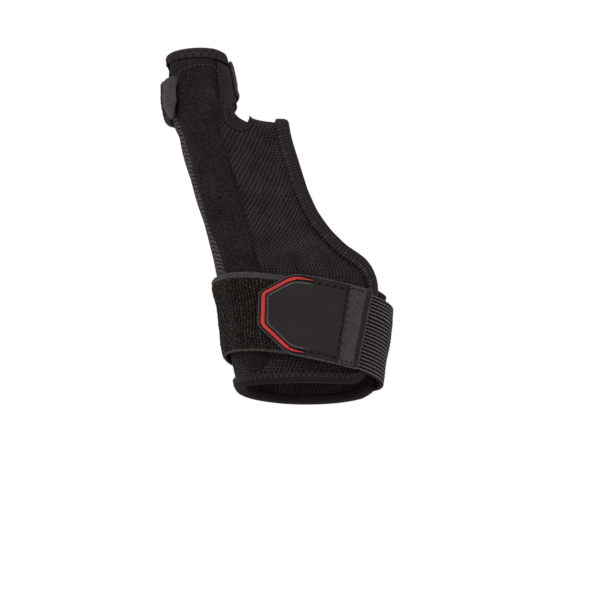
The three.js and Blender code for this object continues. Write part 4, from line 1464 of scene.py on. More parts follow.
@dataclass
class Bindings(SubAssembly):
    """Tape folded round the free edges, with its stitches."""

    joint_row: float = 2.6
    ring_spacing: float = 0.62
    stitch_pitch: float = 1.6
    stitch_length: float = 3.3
    stitch_radius: float = 0.18
    light_share: float = 0.45
    bar_reach: tuple[float, float] = (0.6, -0.7)
    bar_radius: float = 0.17
    zigzag_step: float = 1.3
    zigzag_radius: float = 0.14
    nose_radius: float = 1.5
    nose_bulge: float = 0.35
    flat_start: float = 2.2
    crown: float = 0.16
    pucker: float = 0.09
    inner_share: float = 0.7

    def profile(self, width: float) -> Array:
        """The folded tape's closed section: distance in from the edge, height over the face."""
        s = self.sizes
        outer = s.leaf_gap + s.binding_wall
        inner = -s.shell_wall - s.leaf_gap
        middle, half = (outer + inner - s.binding_wall) / 2, (outer - inner + s.binding_wall) / 2
        points = [(width, s.leaf_gap), (width + 0.05, s.leaf_gap + 0.45), (width - 0.25, outer - 0.12)]
        for distance in np.linspace(width - 0.7, self.flat_start, 7):
            points.append((distance, outer + self.crown * math.sin(math.pi * distance / width)))
        for angle in np.linspace(75, -75, 9):
            turn = math.radians(angle)
            out = (self.nose_radius + self.nose_bulge) * math.cos(turn)
            points.append((self.nose_radius - out, middle + half * math.sin(turn)))
        reach = width * self.inner_share
        under = inner - s.binding_wall
        points += [(self.flat_start, under), (reach, under + 0.1), (reach, inner)]
        points += [(s.binding_wall, inner), (s.binding_wall, s.leaf_gap)]
        return np.array(points)

    def sweep(self, name: str, run: Places, width: float, stands_for: str, finish: Finish = TAPE) -> None:
        """Folds the tape round one run of the edge."""
        profile = self.profile(width)
        run = self.form.evenly(*run, self.ring_spacing)
        profile = np.concatenate([profile, profile[:1]])
        u, angle = self.form.beside(*run, profile[:, 0])
        travel = travelled(self.form.point(*run))
        pucker = self.pucker * np.cos(TURN * travel / self.stitch_pitch)
        inner_line = ease(2.2, 0.4, np.abs(profile[:, 0] - (width - 1.1))) * (profile[:, 1] > 1)
        heights = profile[:, 1][None, :] + pucker[:, None] * inner_line[None, :]
        points = self.form.over(u, angle, heights)
        around = travelled(np.stack([profile[:, 0], profile[:, 1]], axis=1))
        cloth = flat_grid(travel, around)
        piece = Bench.laid(name, points, cloth)
        Bench.closed(piece)
        Bench.smooth(piece, 70)
        self.dress(piece, finish, "binding_fabric", stands_for)

    def blanket_stitches(self, name: str, run: Places, width: float) -> None:
        """Bars from the cloth, over the tape's inner edge and onto its face."""
        top = self.sizes.leaf_gap + self.sizes.binding_wall
        run = self.form.evenly(*run, self.stitch_pitch)
        insets = np.array([width + 0.5, width + 0.02, width + 0.5 - self.stitch_length])
        u, angle = self.form.beside(*run, insets)
        ends = self.form.over(u, angle, np.broadcast_to([0.3, top + 0.12, top + 0.26], u.shape))
        ups = self.form.normal(u[:, 0], angle[:, 0])
        chance = np.random.default_rng(len(u))
        ends[:, 2] = mix(ends[:, 1], ends[:, 2], chance.uniform(0.75, 1.05, len(u))[:, None])
        light = chance.random(len(u)) < self.light_share
        for tone, kept, thread in (("light", light, THREAD), ("dull", ~light, DULL_THREAD)):
            starts = np.concatenate([ends[kept, 0], ends[kept, 1]])
            stops = np.concatenate([ends[kept, 1], ends[kept, 2]])
            both = np.concatenate([ups[kept], ups[kept]])
            self.sewn(f"{name}_{tone}", starts, stops, both, self.stitch_radius, thread)

    def middle_bars(self, name: str, run: Places, distance: float) -> None:
        """Short bars across the tape, along its middle."""
        run = self.form.evenly(*run, self.stitch_pitch)
        u, angle = self.form.beside(*run, distance + np.array(self.bar_reach))
        height = self.sizes.leaf_gap + self.sizes.binding_wall + 0.2
        ends = self.form.over(u, angle, np.full(u.shape, height))
        ups = self.form.normal(u[:, 0], angle[:, 0])
        self.sewn(name, ends[:, 0], ends[:, 1], ups, self.bar_radius, DULL_THREAD)

    def zigzag(self, name: str, run: Places, width: float) -> None:
        """A zigzag over the tape's inner edge, from the cloth to the tape's face."""
        top = self.sizes.leaf_gap + self.sizes.binding_wall
        run = self.form.evenly(*run, self.zigzag_step)
        turns = np.arange(0, len(run[0]) - 2, 2)
        place = (turns[:, None] + np.array([0, 0.28, 1, 1.72])).ravel()
        inset = np.tile([width + 1.1, width + 0.02, width - 2.8, width + 0.02], len(turns))
        height = np.tile([0.35, top + 0.1, top + 0.27, top + 0.1], len(turns))
        index = np.arange(len(run[0]))
        u, angle = np.interp(place, index, run[0]), np.interp(place, index, run[1])
        at_u, at_a = self.form.beside(u, angle, inset[:, None])
        points = self.form.over(at_u[:, 0], at_a[:, 0], height)
        ups = self.form.normal(u, angle)[:-1]
        self.sewn(name, points[:-1], points[1:], ups, self.zigzag_radius, DULL_THREAD)

    def build(self) -> None:
        """Models both bindings and their stitches."""
        s = self.sizes
        back, palm, hem = self.form.free_edge()
        hand_u, hand_a = np.concatenate([back[0], palm[0]]), np.concatenate([back[1], palm[1]])
        kept = hand_u > self.joint_row
        hand = (hand_u[kept], hand_a[kept])
        low_palm = palm[0] < self.joint_row - 0.05
        low_back = back[0] < self.joint_row - 0.05
        hem_run = (
            np.concatenate([palm[0][low_palm], hem[0], back[0][low_back]]),
            np.concatenate([palm[1][low_palm], hem[1], back[1][low_back] - TURN]),
        )
        self.sweep("hand_edge_tape", hand, s.binding_width, "hand_edge_binding")
        # the hem takes the copy of the tape in painted shade
        self.sweep("hem_tape_painted_shade", hem_run, s.hem_binding_width, "hem_binding", HEM_TAPE_PAINTED_SHADE)
        self.blanket_stitches("hand_edge_blanket_stitches", hand, s.binding_width)
        self.middle_bars("hand_edge_middle_stitches", hand, s.binding_width * 0.42)
        self.zigzag("hem_zigzag_stitches", hem_run, s.hem_binding_width)


@dataclass
class SleeveTop(SubAssembly):
    """The rolled top edge of the thumb sleeve, with its overlock stitches.

    The section's points hold a drop below the sleeve's top, a height on the roll and one on the skirt.
    """

    columns: int = 220
    fall_start: float = 1.5
    fall_end: float = 3.3
    inner_roll: float = 1.7
    scallop: float = 3.3
    dark_radius: float = 0.2
    light_radius: float = 0.17
    side_height: float = 1.35
    section: tuple = (
        (5.9, 0.0, 0.1), (5.95, 0.0, 0.3), (5.6, 0.0, 0.44), (4.6, 0.0, 0.5), (3.7, 0.0, 0.5),
        (3.1, 0.0, 0.5), (2.6, 0.0, 0.5), (2.0, 0.05, 0.5), (1.4, 0.1, 0.5), (0.75, 0.0, 0.0),
        (0.25, -0.5, 0.0), (-0.1, -1.3, 0.0), (-0.15, -2.4, 0.0), (0.1, -3.6, 0.0), (0.5, -4.4, 0.0),
    )
    # dark thread arches: overlock thread, darkened as painted shade of the gaps under the loops
    dark_arch: tuple = (
        (5.8, -0.47), (4.0, -0.36), (2.7, -0.16), (2.1, 0.0), (2.7, 0.16), (4.0, 0.36), (5.8, 0.47),
    )
    # lighter thread arches: painted highlights along the inner edges of the dark arches
    highlight_arch: tuple = ((5.4, -0.24), (4.2, -0.19), (3.1, 0.0), (4.2, 0.19), (5.4, 0.24))

    def surface(self, u: Array, angle: Array) -> Array:
        """Height of the cloth under the edge: the pocket's face where it is, else the shell's."""
        point = self.form.point(u, angle)
        left, right = self.form.pocket_sides(point[..., 2])
        inside = np.minimum(point[..., 0] - left, right - point[..., 0])
        face = self.form.pocket_top(point[..., 2], np.maximum(inside, 0)) * ease(-1.2, 0, inside)
        tape = self.side_height * ease(-1.1, 0.2, point[..., 0] - right)
        under = self.side_height * ease(-1, -0.2, np.sin(angle)) * (np.cos(angle) > 0)
        return np.where(np.sin(angle) < 0, under, np.maximum(face, tape))

    def place(self, drop: float, angle: Array) -> Array:
        """The rows at a drop below the sleeve's top."""
        top_z = self.form.point(self.form.top, angle)[..., 2]
        return np.minimum(self.form.row_for_height(top_z - drop, angle), self.form.top)

    def level(self, u: Array, angle: Array, drop: float, roll: float, skirt: float) -> Array:
        """Height of the tape: over the layers on the roll, and over the cloth on the skirt below it."""
        outer = self.form.strap_base(u, angle) - self.sizes.gap + 0.35
        return mix(outer + roll, self.surface(u, angle) + skirt, ease(self.fall_start, self.fall_end, drop))

    def build(self) -> None:
        """Models the rolled edge and the stitches over it."""
        s = self.sizes
        angles = np.linspace(0, TURN, self.columns + 1)
        inner = -s.shell_wall - s.leaf_gap
        rings = []
        for drop, roll, skirt in self.section:
            u = self.place(drop, angles)
            level = np.maximum(self.level(u, angles, drop, roll, skirt), inner - 1)
            rings.append(self.form.over(u, angles, level) + np.array([0, 0, max(-drop, 0)]))
        for drop, fall in ((1.1, 0.95), (self.inner_roll, 0.6), (self.inner_roll, 0.0), (0.6, 0.0)):
            u = self.place(drop, angles)
            rings.append(self.form.over(u, angles, np.full(u.shape, inner - fall)))
        for drop in (0.6, 1.6, 2.4, 3.1, 4.5):
            u = self.place(drop, angles)
            rings.append(self.form.over(u, angles, self.level(u, angles, drop, -0.9, 0.12)))
        rings.append(rings[0])
        points = np.array(rings)
        travel = travelled(points[0])
        around = travelled(points[:, 0])
        cloth = np.stack(np.broadcast_arrays(travel[None, :], around[:, None]), axis=2)
        piece = Bench.laid("sleeve_rolled_edge", points, cloth)
        Bench.closed(piece)
        Bench.smooth(piece, 70)
        # the rolled edge takes the lighter copy of the tape, painted light
        self.dress(piece, RIM_TAPE_PAINTED_LIGHT, "binding_fabric", "sleeve_rim")
        self.overlock()

    def overlock(self) -> None:
        """Dark thread scallops over the tape's lower part, partly thread and partly painted shade of the gaps
        under the loops, each with a lighter thread scallop inside it as a painted highlight along its inner
        edge.
        """
        angles = np.linspace(0, TURN, 721)
        _, angles = self.form.evenly(np.full(angles.shape, self.form.top - 0.02), angles, self.scallop)
        pitch = float(np.abs(np.diff(angles)).mean())
        # the light arches are painted highlights; the dark ones are partly painted shade
        arches = (
            ("dark", DARK_THREAD, self.dark_radius, self.dark_arch),
            ("light", DULL_THREAD, self.light_radius, self.highlight_arch),
        )
        for name, thread, radius, corners in arches:
            points = []
            for drop, turn in corners:
                at = angles + turn * pitch
                row = self.place(drop, at)
                points.append(self.form.over(row, at, self.level(row, at, drop, 0.1, 0.58)))
            points = np.array(points)
            ups = np.repeat(self.form.normal(self.form.top - 0.02, angles)[None], len(corners) - 1, axis=0)
            starts, ends = (part.reshape(-1, 3) for part in (points[:-1], points[1:]))
            self.sewn(f"sleeve_{name}_overlock", starts, ends, ups.reshape(-1, 3), radius, thread)


@dataclass
class HoleFacing(SubAssembly):
    """The smooth facing round the oval hole."""

    columns: int = 150
    rows: int = 60
    lift: float = 0.12
    wall: float = 0.48
    round_over: float = 0.18
    open_share: float = 0.85
    dash_inset: float = 0.8
    dash_share: float = 0.6
    thread_radius: float = 0.14
    tape_start: float = 5
    tape_stop: float = 5.6
    side_wall: float = 1.55
    side_end: float = -1.1

    def build(self) -> None:
        """Models a layer round the sleeve and keeps the oval ring of it."""
        s = self.sizes
        low = float(self.form.row_for_height(s.hole_z - s.hole_half_height - 2 * s.hole_facing_width, 0.0))
        u = np.linspace(low, self.form.sleeve_top, self.rows + 1)[:, None]
        angle = np.linspace(0, TURN, self.columns + 1)[None, :]
        u, angle = np.broadcast_arrays(u, angle)
        points = self.form.over(u, angle, np.full(u.shape, self.lift))
        piece = Bench.laid("hole_facing", points, FabricShell.flat_places(points))
        Bench.weld(piece)
        Bench.face_out(piece, Vector(points.reshape(-1, 3).mean(axis=0) * MM))
        Bench.modify(piece, "SOLIDIFY", thickness=self.wall * MM, offset=1.0)
        Bench.cut(piece, self.hole_tool(s.hole_facing_width, 0.0, self.open_share), "INTERSECT")
        Bench.modify(piece, "BEVEL", width=self.round_over * MM, segments=3, limit_method="ANGLE",
                     angle_limit=math.radians(50))
        Bench.smooth(piece, 60)
        self.dress(piece, TAPE, "binding_fabric", "thumb_hole_facing")
        self.stitches()
        self.side_tape()

    def side_tape(self) -> None:
        """The facing's upper part: a tape over the sleeve's finger side, from the hole to the top edge."""
        low_z, high_z = self.sizes.hole_z + self.tape_start, self.form.sleeve_end - self.tape_stop
        across = spaced(high_z - low_z, 0.9, 0.8)
        along = spaced(1.0, 0.03, 0.02, 4)
        z = low_z + across[None, :] + 0 * along[:, None]
        u, first = self.form.place_at(self.form.pocket_sides(z)[1] + 0.25, z)
        angle = mix(first, self.side_end, along[:, None])
        u = np.minimum(self.form.row_for_height(z, angle), self.form.sleeve_top)
        points = self.form.point(u, angle)
        travel = travelled(points[:, points.shape[1] // 2])
        cloth = flat_grid(travel, across)
        low = np.full(u.shape, self.lift)
        wall = mix(self.wall - 0.14, self.side_wall, ease(low_z + 1, low_z + 8, z))
        piece = Bench.sheet("sleeve_side_tape", self.form, (u, angle), low, low + wall, cloth,
                            (from_ends(travel), from_ends(across)))
        Bench.cut(piece, self.hole_tool(0.2), "DIFFERENCE")
        Bench.smooth(piece, 70)
        self.dress(piece, TAPE, "binding_fabric")

    def stitches(self) -> None:
        """Dashes round the hole, near the facing's outer line, on the back of the thumb."""
        s = self.sizes
        turn = np.linspace(0, TURN, 41)
        at_x, at_z = self.oval(turn, s.hole_facing_width - self.dash_inset)
        u, angle = self.form.place_at(at_x, at_z)
        row_x, _, width, _, _ = self.form.row(u)
        points = self.form.over(u, angle, np.full(u.shape, self.lift + self.wall + 0.02))
        on_back = at_x < row_x + width * 0.985
        self.dashed("hole_facing_stitches", points, self.form.normal(u, angle), self.dash_share,
                    self.thread_radius, DULL_THREAD, on_back[:-1] & on_back[1:])


@dataclass
class StayPocket(SubAssembly):
    """The brushed strip over the stay, from the sleeve's top to its round tongue."""

    steps: int = 230
    edge_lift: float = 0.12
    edge_wall: float = 0.5
    crown_share: float = 0.85
    tongue_steps: int = 40
    side_steps: int = 240
    left_pitch: float = 1.4
    right_pitch: float = 2.3
    stitch_inset: float = 0.75
    stitch_share: float = 0.58
    stitch_radius: float = 0.17
    light_radius: float = 0.24
    light_from: float = 78
    light_to: float = 101
    top_pitch: float = 1.9
    top_line: tuple = (
        (-64.8, 122.0, 0), (-64.6, 129.6, 3), (-57.0, 132.3, 6), (-47.4, 132.6, 2.5), (-44.6, 121.5, 0),
    )

    def half_outline(self, right: bool) -> Array:
        """One side of the outline, from the middle of the tongue up to the middle of the top."""
        s = self.sizes
        low, top = -s.tongue_drop, float(self.form.row(self.form.sleeve_top)[1])
        turn = np.linspace(-math.pi / 2, 0, self.tongue_steps)
        z = low + s.tongue_radius * (1 + np.sin(turn))
        edges = self.form.pocket_sides(np.full(z.shape, low + s.tongue_radius))
        middle, half = (edges[0] + edges[1]) / 2, (edges[1] - edges[0]) / 2
        sign = 1 if right else -1
        line = [np.stack([middle + sign * half * np.cos(turn), z], axis=1)]
        z = np.linspace(low + s.tongue_radius, top - 1.5, self.side_steps)[1:]
        sides = self.form.pocket_sides(z)
        line.append(np.stack([sides[1] if right else sides[0], z], axis=1))
        last = line[-1][-1]
        centre = (sides[0][-1] + sides[1][-1]) / 2
        line.append(np.array([[last[0] - sign * 0.6, top - 0.3], [last[0] - sign * 1.5, top], [centre, top]]))
        return resampled(np.concatenate(line), self.steps)

    def build(self) -> None:
        """Models the pocket and sews its sides."""
        s = self.sizes
        right, left = self.half_outline(True), self.half_outline(False)
        outline = np.concatenate([right, left[1:-1][::-1]])
        edge, lift = self.edge_wall, self.edge_lift
        profile = [(0.0, edge * 0.5), (0.06, edge * 0.8), (0.25, edge), (0.7, edge + 0.05)]
        profile.append((1.15, edge - 0.1))
        crown = s.leaf_gap - lift + s.pocket_border + s.pocket_crown * self.crown_share - edge
        for distance in np.linspace(1.6, s.pocket_slope, 7):
            profile.append((distance, edge + crown * float(ease(0.7, s.pocket_slope, distance))))

        def base(u: Array, angle: Array) -> Array:
            """The pocket lies on the shell."""
            return np.full(np.shape(u), lift)

        top = float(self.form.row(self.form.sleeve_top)[1])
        piece = Patch("brushed_stay_pocket", self.form, outline, self.place, base, profile,
                      (-s.tongue_drop + 7.5, top - 8), crown=0.25, steps=9, along_axis=1).build()
        self.settle(piece)
        Bench.smooth(piece, 70)
        self.dress(piece, BRUSHED, "brushed_fabric", "stay_pocket")
        self.stitches(right, left)

    def place(self, x: Array, z: Array) -> Places:
        """A place on the back of the form, no higher than the sleeve's top."""
        u, angle = self.form.place_at(x, z)
        return np.minimum(u, self.form.sleeve_top), angle

    def settle(self, piece: Piece) -> None:
        """Presses the pocket's crown down near its tongue and on the thumb's end."""
        s = self.sizes
        points = np.array([v.co for v in piece.data.vertices]) / MM
        sides = self.form.pocket_sides(points[:, 2])
        inside = np.clip((points[:, 0] - sides[0]) / (sides[1] - sides[0]), 0.02, 0.98)
        x = mix(sides[0], sides[1], inside)
        u, angle = self.place(x, points[:, 2])
        u, angle = self.form.nearest(points, u, angle)
        u = np.minimum(u, self.form.sleeve_top)
        foot = self.form.over(u, angle, np.zeros(u.shape))
        normal = self.form.normal(u, angle)
        height = ((points - foot) * normal).sum(axis=1)
        flat = s.leaf_gap + s.pocket_border - 0.35
        drop = np.maximum(0, height - flat) * (1 - self.form.crown_share(points[:, 2]))
        piece.data.vertices.foreach_set("co", ((points - normal * drop[:, None]) * MM).ravel())
        piece.data.update()

    def stitches(self, right: Array, left: Array) -> None:
        """Dashes on the thumb side, lightest by the thumb's root, and dark ones on the other side."""
        s = self.sizes
        for name, side, inward, thread in (("left", left, -1, DULL_THREAD), ("right", right, 1, DARK_THREAD)):
            kept = (side[:, 1] > -s.tongue_drop + 2) & (side[:, 1] < self.form.sleeve_end - 8)
            u, angle = self.place(side[kept, 0], side[kept, 1])
            u, angle = self.form.evenly(u, angle, self.left_pitch if inward < 0 else self.right_pitch)
            at_u, at_a = self.form.beside(u, angle, np.array([inward * self.stitch_inset]))
            height = self.edge_lift + self.edge_wall + 0.2
            points = self.form.over(at_u, at_a, np.full(at_u.shape, height))[:, 0]
            ups, up = self.form.normal(u, angle), points[:-1, 2]
            bright = (up > self.light_from) & (up < self.light_to) & (inward < 0)
            self.dashed(f"pocket_{name}_stitches", points, ups, self.stitch_share, self.stitch_radius, thread,
                        ~bright)
            if inward < 0:
                self.dashed("pocket_left_light_stitches", points, ups, self.stitch_share, self.light_radius,
                            kept=bright)
        self.top_stitches()

    def top_stitches(self) -> None:
        """Dashes of light thread round the pocket's upper end."""
        line = filleted(self.top_line, 120)
        u, angle = self.place(line[:, 0], line[:, 1])
        u, angle = self.form.evenly(u, angle, self.top_pitch)
        point = self.form.point(u, angle)
        left, right = self.form.pocket_sides(point[:, 2])
        inside = np.minimum(point[:, 0] - left, right - point[:, 0])
        points = self.form.over(u, angle, self.form.pocket_top(point[:, 2], np.maximum(inside, 0)) + 0.1)
        self.dashed("pocket_top_stitches", points, self.form.normal(u, angle), 0.5, self.stitch_radius)


@dataclass
class WristStrap(SubAssembly):
    """Loop panel, elastic and the coated tab with its grained strip and red line."""

    rib_count: int = 22
    rib_faces: int = 6
    rib_depth: float = 0.55
    pile_height: float = 0.11
    selvedge_drop: float = 0.45
    loop_end: float = 19.6
    elastic_start: float = 37.6
    trim_sink: float = 0.28
    upper_reach: float = 22.5
    lower_reach: float = 21.5

    def place(self, angle: Array, distance: Array) -> Places:
        """The strap's places at angles round the wrist, at distances over its middle line."""
        s = self.sizes
        near = self.form.point(3.0, angle)
        z = s.strap_level + s.strap_slant * near[..., 0] + s.strap_tilt * near[..., 1] + distance
        return self.form.row_for_height(z, angle), angle

    def band(self, start: float, end: float, spacing: float, across: Array,
             wall: float) -> tuple[Places, Array, Array, Array]:
        """Places of a band between two angles.

        Args:
            start: its first angle.
            end: its last angle.
            spacing: how far apart its rows are.
            across: distances across it, from 0.
            wall: its thickness.

        Returns:
            Its places, the underside's heights, flat cloth places, and distances along it.
        """
        angles = np.linspace(start, end, 500)
        run = travelled(self.form.point(*self.place(angles, np.zeros(angles.shape))))
        along = spaced(run[-1], spacing, wall / 2)
        angle, distance = np.meshgrid(np.interp(along, run, angles), across - across[-1] / 2, indexing="ij")
        places = self.place(angle, distance)
        cloth = flat_grid(along, across - across[-1] / 2)
        return places, self.form.strap_base(*places), cloth, along

    def loop_panel(self) -> None:
        """The wide loop strap on the thumb side."""
        s = self.sizes
        start = float(self.tab_place(np.array(self.loop_end), np.array(0.0))[1])
        across = spaced(s.strap_height, 0.5, s.loop_panel_wall / 2)
        places, low, cloth, along = self.band(start, math.pi + 0.8, 0.5, across, s.loop_panel_wall)
        inside = np.minimum(from_ends(along)[:, None], from_ends(across)[None, :])
        pile = np.random.default_rng(7).normal(0, self.pile_height, low.shape) * ease(1.6, 3.2, inside)
        upper = across > across[-1] / 2
        rim = from_ends(across)
        field_share = np.where(upper, ease(2.0, 3.0, rim), ease(0.7, 1.5, rim))
        selvedge = -self.selvedge_drop * (1 - field_share)[None, :]
        high = low + s.loop_panel_wall + pile + selvedge
        piece = Bench.sheet("loop_panel", self.form, places, low, high, cloth, (from_ends(along), rim))
        Bench.smooth(piece, 180)
        self.dress(piece, LOOPS, "loop_fabric", "wrist_loop_panel")

    def elastic(self) -> None:
        """The ribbed elastic, with its cords modelled."""
        s = self.sizes
        start = float(self.tab_place(np.array(self.elastic_start), np.array(0.0))[1])
        pitch = s.strap_height / self.rib_count
        across = np.unique(np.concatenate([
            np.linspace(0, s.strap_height, self.rib_count * self.rib_faces + 1),
            spaced(s.strap_height, s.strap_height, 0.7),
        ]))
        places, low, cloth, along = self.band(start, -math.pi + 0.82, 0.9, across, s.elastic_wall)
        crest = np.abs(np.sin(math.pi * across / pitch)) ** 0.7
        high = low + s.elastic_wall + 0.15 - self.rib_depth * (1 - crest)[None, :]
        cloth = cloth + np.array([0, pitch / 2]) * (self.rib_count % 2 == 0)
        piece = Bench.sheet("ribbed_elastic_strap", self.form, places, low, high, cloth,
                            (from_ends(along), from_ends(across)))
        Bench.smooth(piece, 70)
        self.dress(piece, ELASTIC, "elastic_webbing", "elastic_strap")

    def tab_place(self, along: Array, across: Array) -> Places:
        """A place on the tab. Its tip is upright and its far end is square to its slant."""
        s = self.sizes
        lean = -s.tab_slant * across * (along / s.tab_length)
        return self.form.place_at(s.tab_tip_x + along + lean, s.tab_tip_z + along * s.tab_slant + across)

    def tab_base(self, u: Array, angle: Array) -> Array:
        """Height of the tab's underside, over the loop panel."""
        s = self.sizes
        return self.form.strap_base(u, angle) + s.loop_panel_wall + 2 * s.gap

    def tab_outline(self) -> Array:
        """The tab's closed outline from the middle of its tip."""
        s = self.sizes
        tip, half = s.tab_tip_height / 2, s.tab_height / 2
        corners = [(0, 0, 0), (0, tip, 5.5), (s.tab_chamfer * 0.9, half, 13), (s.tab_length, half, 1.4)]
        corners.append((s.tab_length, 0, 0))
        upper = filleted(corners, 150)
        lower = upper * np.array([1, -1])
        return np.concatenate([lower, upper[1:-1][::-1]])

    def tab(self) -> None:
        """The coated tab, with a raised lip, a channel for the red line and a raised inner line."""
        s = self.sizes
        wall = s.tab_wall
        profile = [
            (0.0, 0.35), (0.05, 0.75), (0.2, wall - 0.08), (0.5, wall + 0.08), (0.85, wall + 0.02),
            (1.1, wall - 0.22), (1.35, wall - 0.3), (2.1, wall - 0.3), (2.85, wall - 0.3),
            (3.15, wall - 0.22), (3.45, wall - 0.02), (3.75, wall - 0.2), (4.0, wall + 0.02),
            (4.25, wall + 0.1), (4.55, wall), (5.1, wall - 0.03),
        ]
        patch = Patch("coated_tab", self.form, self.tab_outline(), self.tab_place, self.tab_base, profile,
                      (13, s.tab_length - 12), steps=12)
        self.patched(patch, VINYL, "smooth_vinyl", "strap_tab")
        self.tab_stitches()

    def on_tab(self, along: Array, across: Array, height: float) -> tuple[Array, Array]:
        """Points and directions out, at a height over the tab's face."""
        u, angle = self.tab_place(np.asarray(along, float), np.asarray(across, float))
        points = self.form.over(u, angle, self.tab_base(u, angle) + self.sizes.tab_wall + height)
        return points, self.form.normal(u, angle)

    def dashes(self, name: str, along: Array, across: Array, height: float, pitch: float, share: float,
               radius: float = 0.29, thread: Finish = DARK_THREAD) -> None:
        """Sews dashes along a line on the tab's face."""
        points, _ = self.on_tab(along, across, height)
        run = travelled(points)
        starts = np.arange(0.3, run[-1] - pitch * share, pitch)

        def at(travel: Array) -> tuple[Array, Array]:
            """The line's points and directions out at distances along it."""
            return self.on_tab(np.interp(travel, run, along), np.interp(travel, run, across), height)

        begin, ups = at(starts)
        end, _ = at(starts + pitch * share)
        self.sewn(name, begin, end, ups, radius, thread)

    def tab_stitches(self) -> None:
        """Dark dashes along the long sides and before the strip, light ones inside the tip's line."""
        s = self.sizes
        half = s.tab_height / 2 - 3.0
        far = s.tab_length - s.end_strip_inset - 0.5
        for name, side, near in (("upper", half, 14.5), ("lower", -half, 13.0)):
            along = np.linspace(near, far, 60)
            self.dashes(f"tab_{name}_stitches", along, np.full(60, side), 0.04, 3.6, 0.66)
        across = np.linspace(half - 0.5, -half + 0.5, 60)
        line = s.tab_length - s.end_strip_inset - s.end_strip_width - 0.9
        self.dashes("tab_cross_stitches", np.full(60, line), across, 0.04, 3.4, 0.66)
        outline = self.tab_outline()
        ahead = unit(np.roll(outline, -1, axis=0) - np.roll(outline, 1, axis=0))
        inner = outline + np.stack([-ahead[:, 1], ahead[:, 0]], axis=1) * 4.1
        if inner[0, 0] < outline[0, 0]:
            inner = 2 * outline - inner
        inner = np.roll(inner, len(inner) // 2, axis=0)
        kept = inner[:, 0] < 13.5
        self.dashes("tab_tip_stitches", inner[kept, 0], inner[kept, 1], 0.08, 3.4, 0.34, 0.17, THREAD)

    def end_strip(self) -> None:
        """The grained strip across the tab's end."""
        s = self.sizes
        start = s.tab_length - s.end_strip_inset - s.end_strip_width
        end = start + s.end_strip_width
        half = s.tab_height / 2 - 0.7
        middle = (start + end) / 2
        corners = [(middle, half, 0), (end, half, 0.5), (end, -half, 0.5), (middle, -half, 0)]
        first = filleted(corners, 90)
        second = first.copy()
        second[:, 0] = start + end - first[:, 0]
        outline = np.concatenate([second, first[1:-1][::-1]])
        height = s.patch_wall

        def base(u: Array, angle: Array) -> Array:
            """The strip lies on the tab."""
            return self.tab_base(u, angle) + s.tab_wall + s.gap / 2

        profile = [(0.0, 0.3), (0.05, 0.6), (0.2, height - 0.14)]
        profile += [(0.5, height - 0.02), (1.0, height), (1.8, height - 0.02)]
        patch = Patch("grained_end_strip", self.form, outline, self.tab_place, base, profile,
                      (-half + 3.5, half - 3.5), steps=5, along_axis=1)
        self.patched(patch, GRAIN, "grained_vinyl", "tab_end_strip")
        across = np.linspace(half - 0.8, -half + 0.8, 60)
        lift = s.gap / 2 + height + 0.02
        self.dashes("strip_near_stitches", np.full(60, start + 0.5), across, lift - 0.1, 3.4, 0.45, 0.22)
        self.dashes("strip_far_stitches", np.full(60, end - 0.35), across, lift - 0.3, 2.6, 0.93, 0.26)
        along = np.linspace(start + 0.3, end - 0.3, 20)
        for name, side in (("upper", half - 1.6), ("lower", 1.4 - half)):
            self.dashes(f"strip_{name}_stitches", along, np.full(20, side), lift, 2.4, 0.62)

    def trim(self) -> None:
        """The red line in the tab's channel, drawn thin at both ends."""
        s = self.sizes
        outline = self.tab_outline()
        outline = np.roll(outline, len(outline) // 2, axis=0)
        start_u, start_a = self.tab_place(outline[:, 0], outline[:, 1])
        line_u, line_a = self.form.beside(start_u, start_a, np.array([s.trim_inset]), closed=True)
        line = self.form.point(line_u[:, 0], line_a[:, 0])
        kept = outline[:, 0] < np.where(outline[:, 1] > 0, self.upper_reach, self.lower_reach)
        run = travelled(line[kept])
        taper = ease(0, 9, run) * ease(0, 9, run[-1] - run)
        half = s.trim_width / 2 * mix(0.25, 1.0, taper)
        section = np.array([
            (-1.0, -0.05), (-0.96, 0.3), (-0.7, 0.5), (0.0, 0.6), (0.7, 0.5), (0.96, 0.3), (1.0, -0.05),
            (-1.0, -0.05),
        ])
        distances = s.trim_inset + half[:, None] * section[:, 0][None, :]
        u, angle = self.beside_closed(start_u, start_a, kept, distances)
        rise = section[:, 1][None, :] * mix(0.4, 1, taper)[:, None]
        heights = self.tab_base(u, angle) + s.tab_wall - self.trim_sink + rise
        points = self.form.over(u, angle, heights)
        cloth = flat_grid(run, np.arange(len(section)) * 0.3)
        piece = Bench.laid("red_line", points, cloth)
        Bench.closed(piece)
        Bench.smooth(piece, 60)
        self.dress(piece, TRIM, "red_trim", "tab_trim")

    def beside_closed(self, u: Array, angle: Array, kept: Array, distances: Array) -> Places:
        """Places to the left of the kept stretch of a closed run."""
        full = np.zeros((len(u), distances.shape[1]))
        full[kept] = distances
        at_u, at_a = self.form.beside(u, angle, full, closed=True)
        return at_u[kept], at_a[kept]

    def build(self) -> None:
        """Models the strap's pieces, from the innermost out."""
        self.loop_panel()
        self.elastic()
        self.tab()
        self.end_strip()
        self.trim()


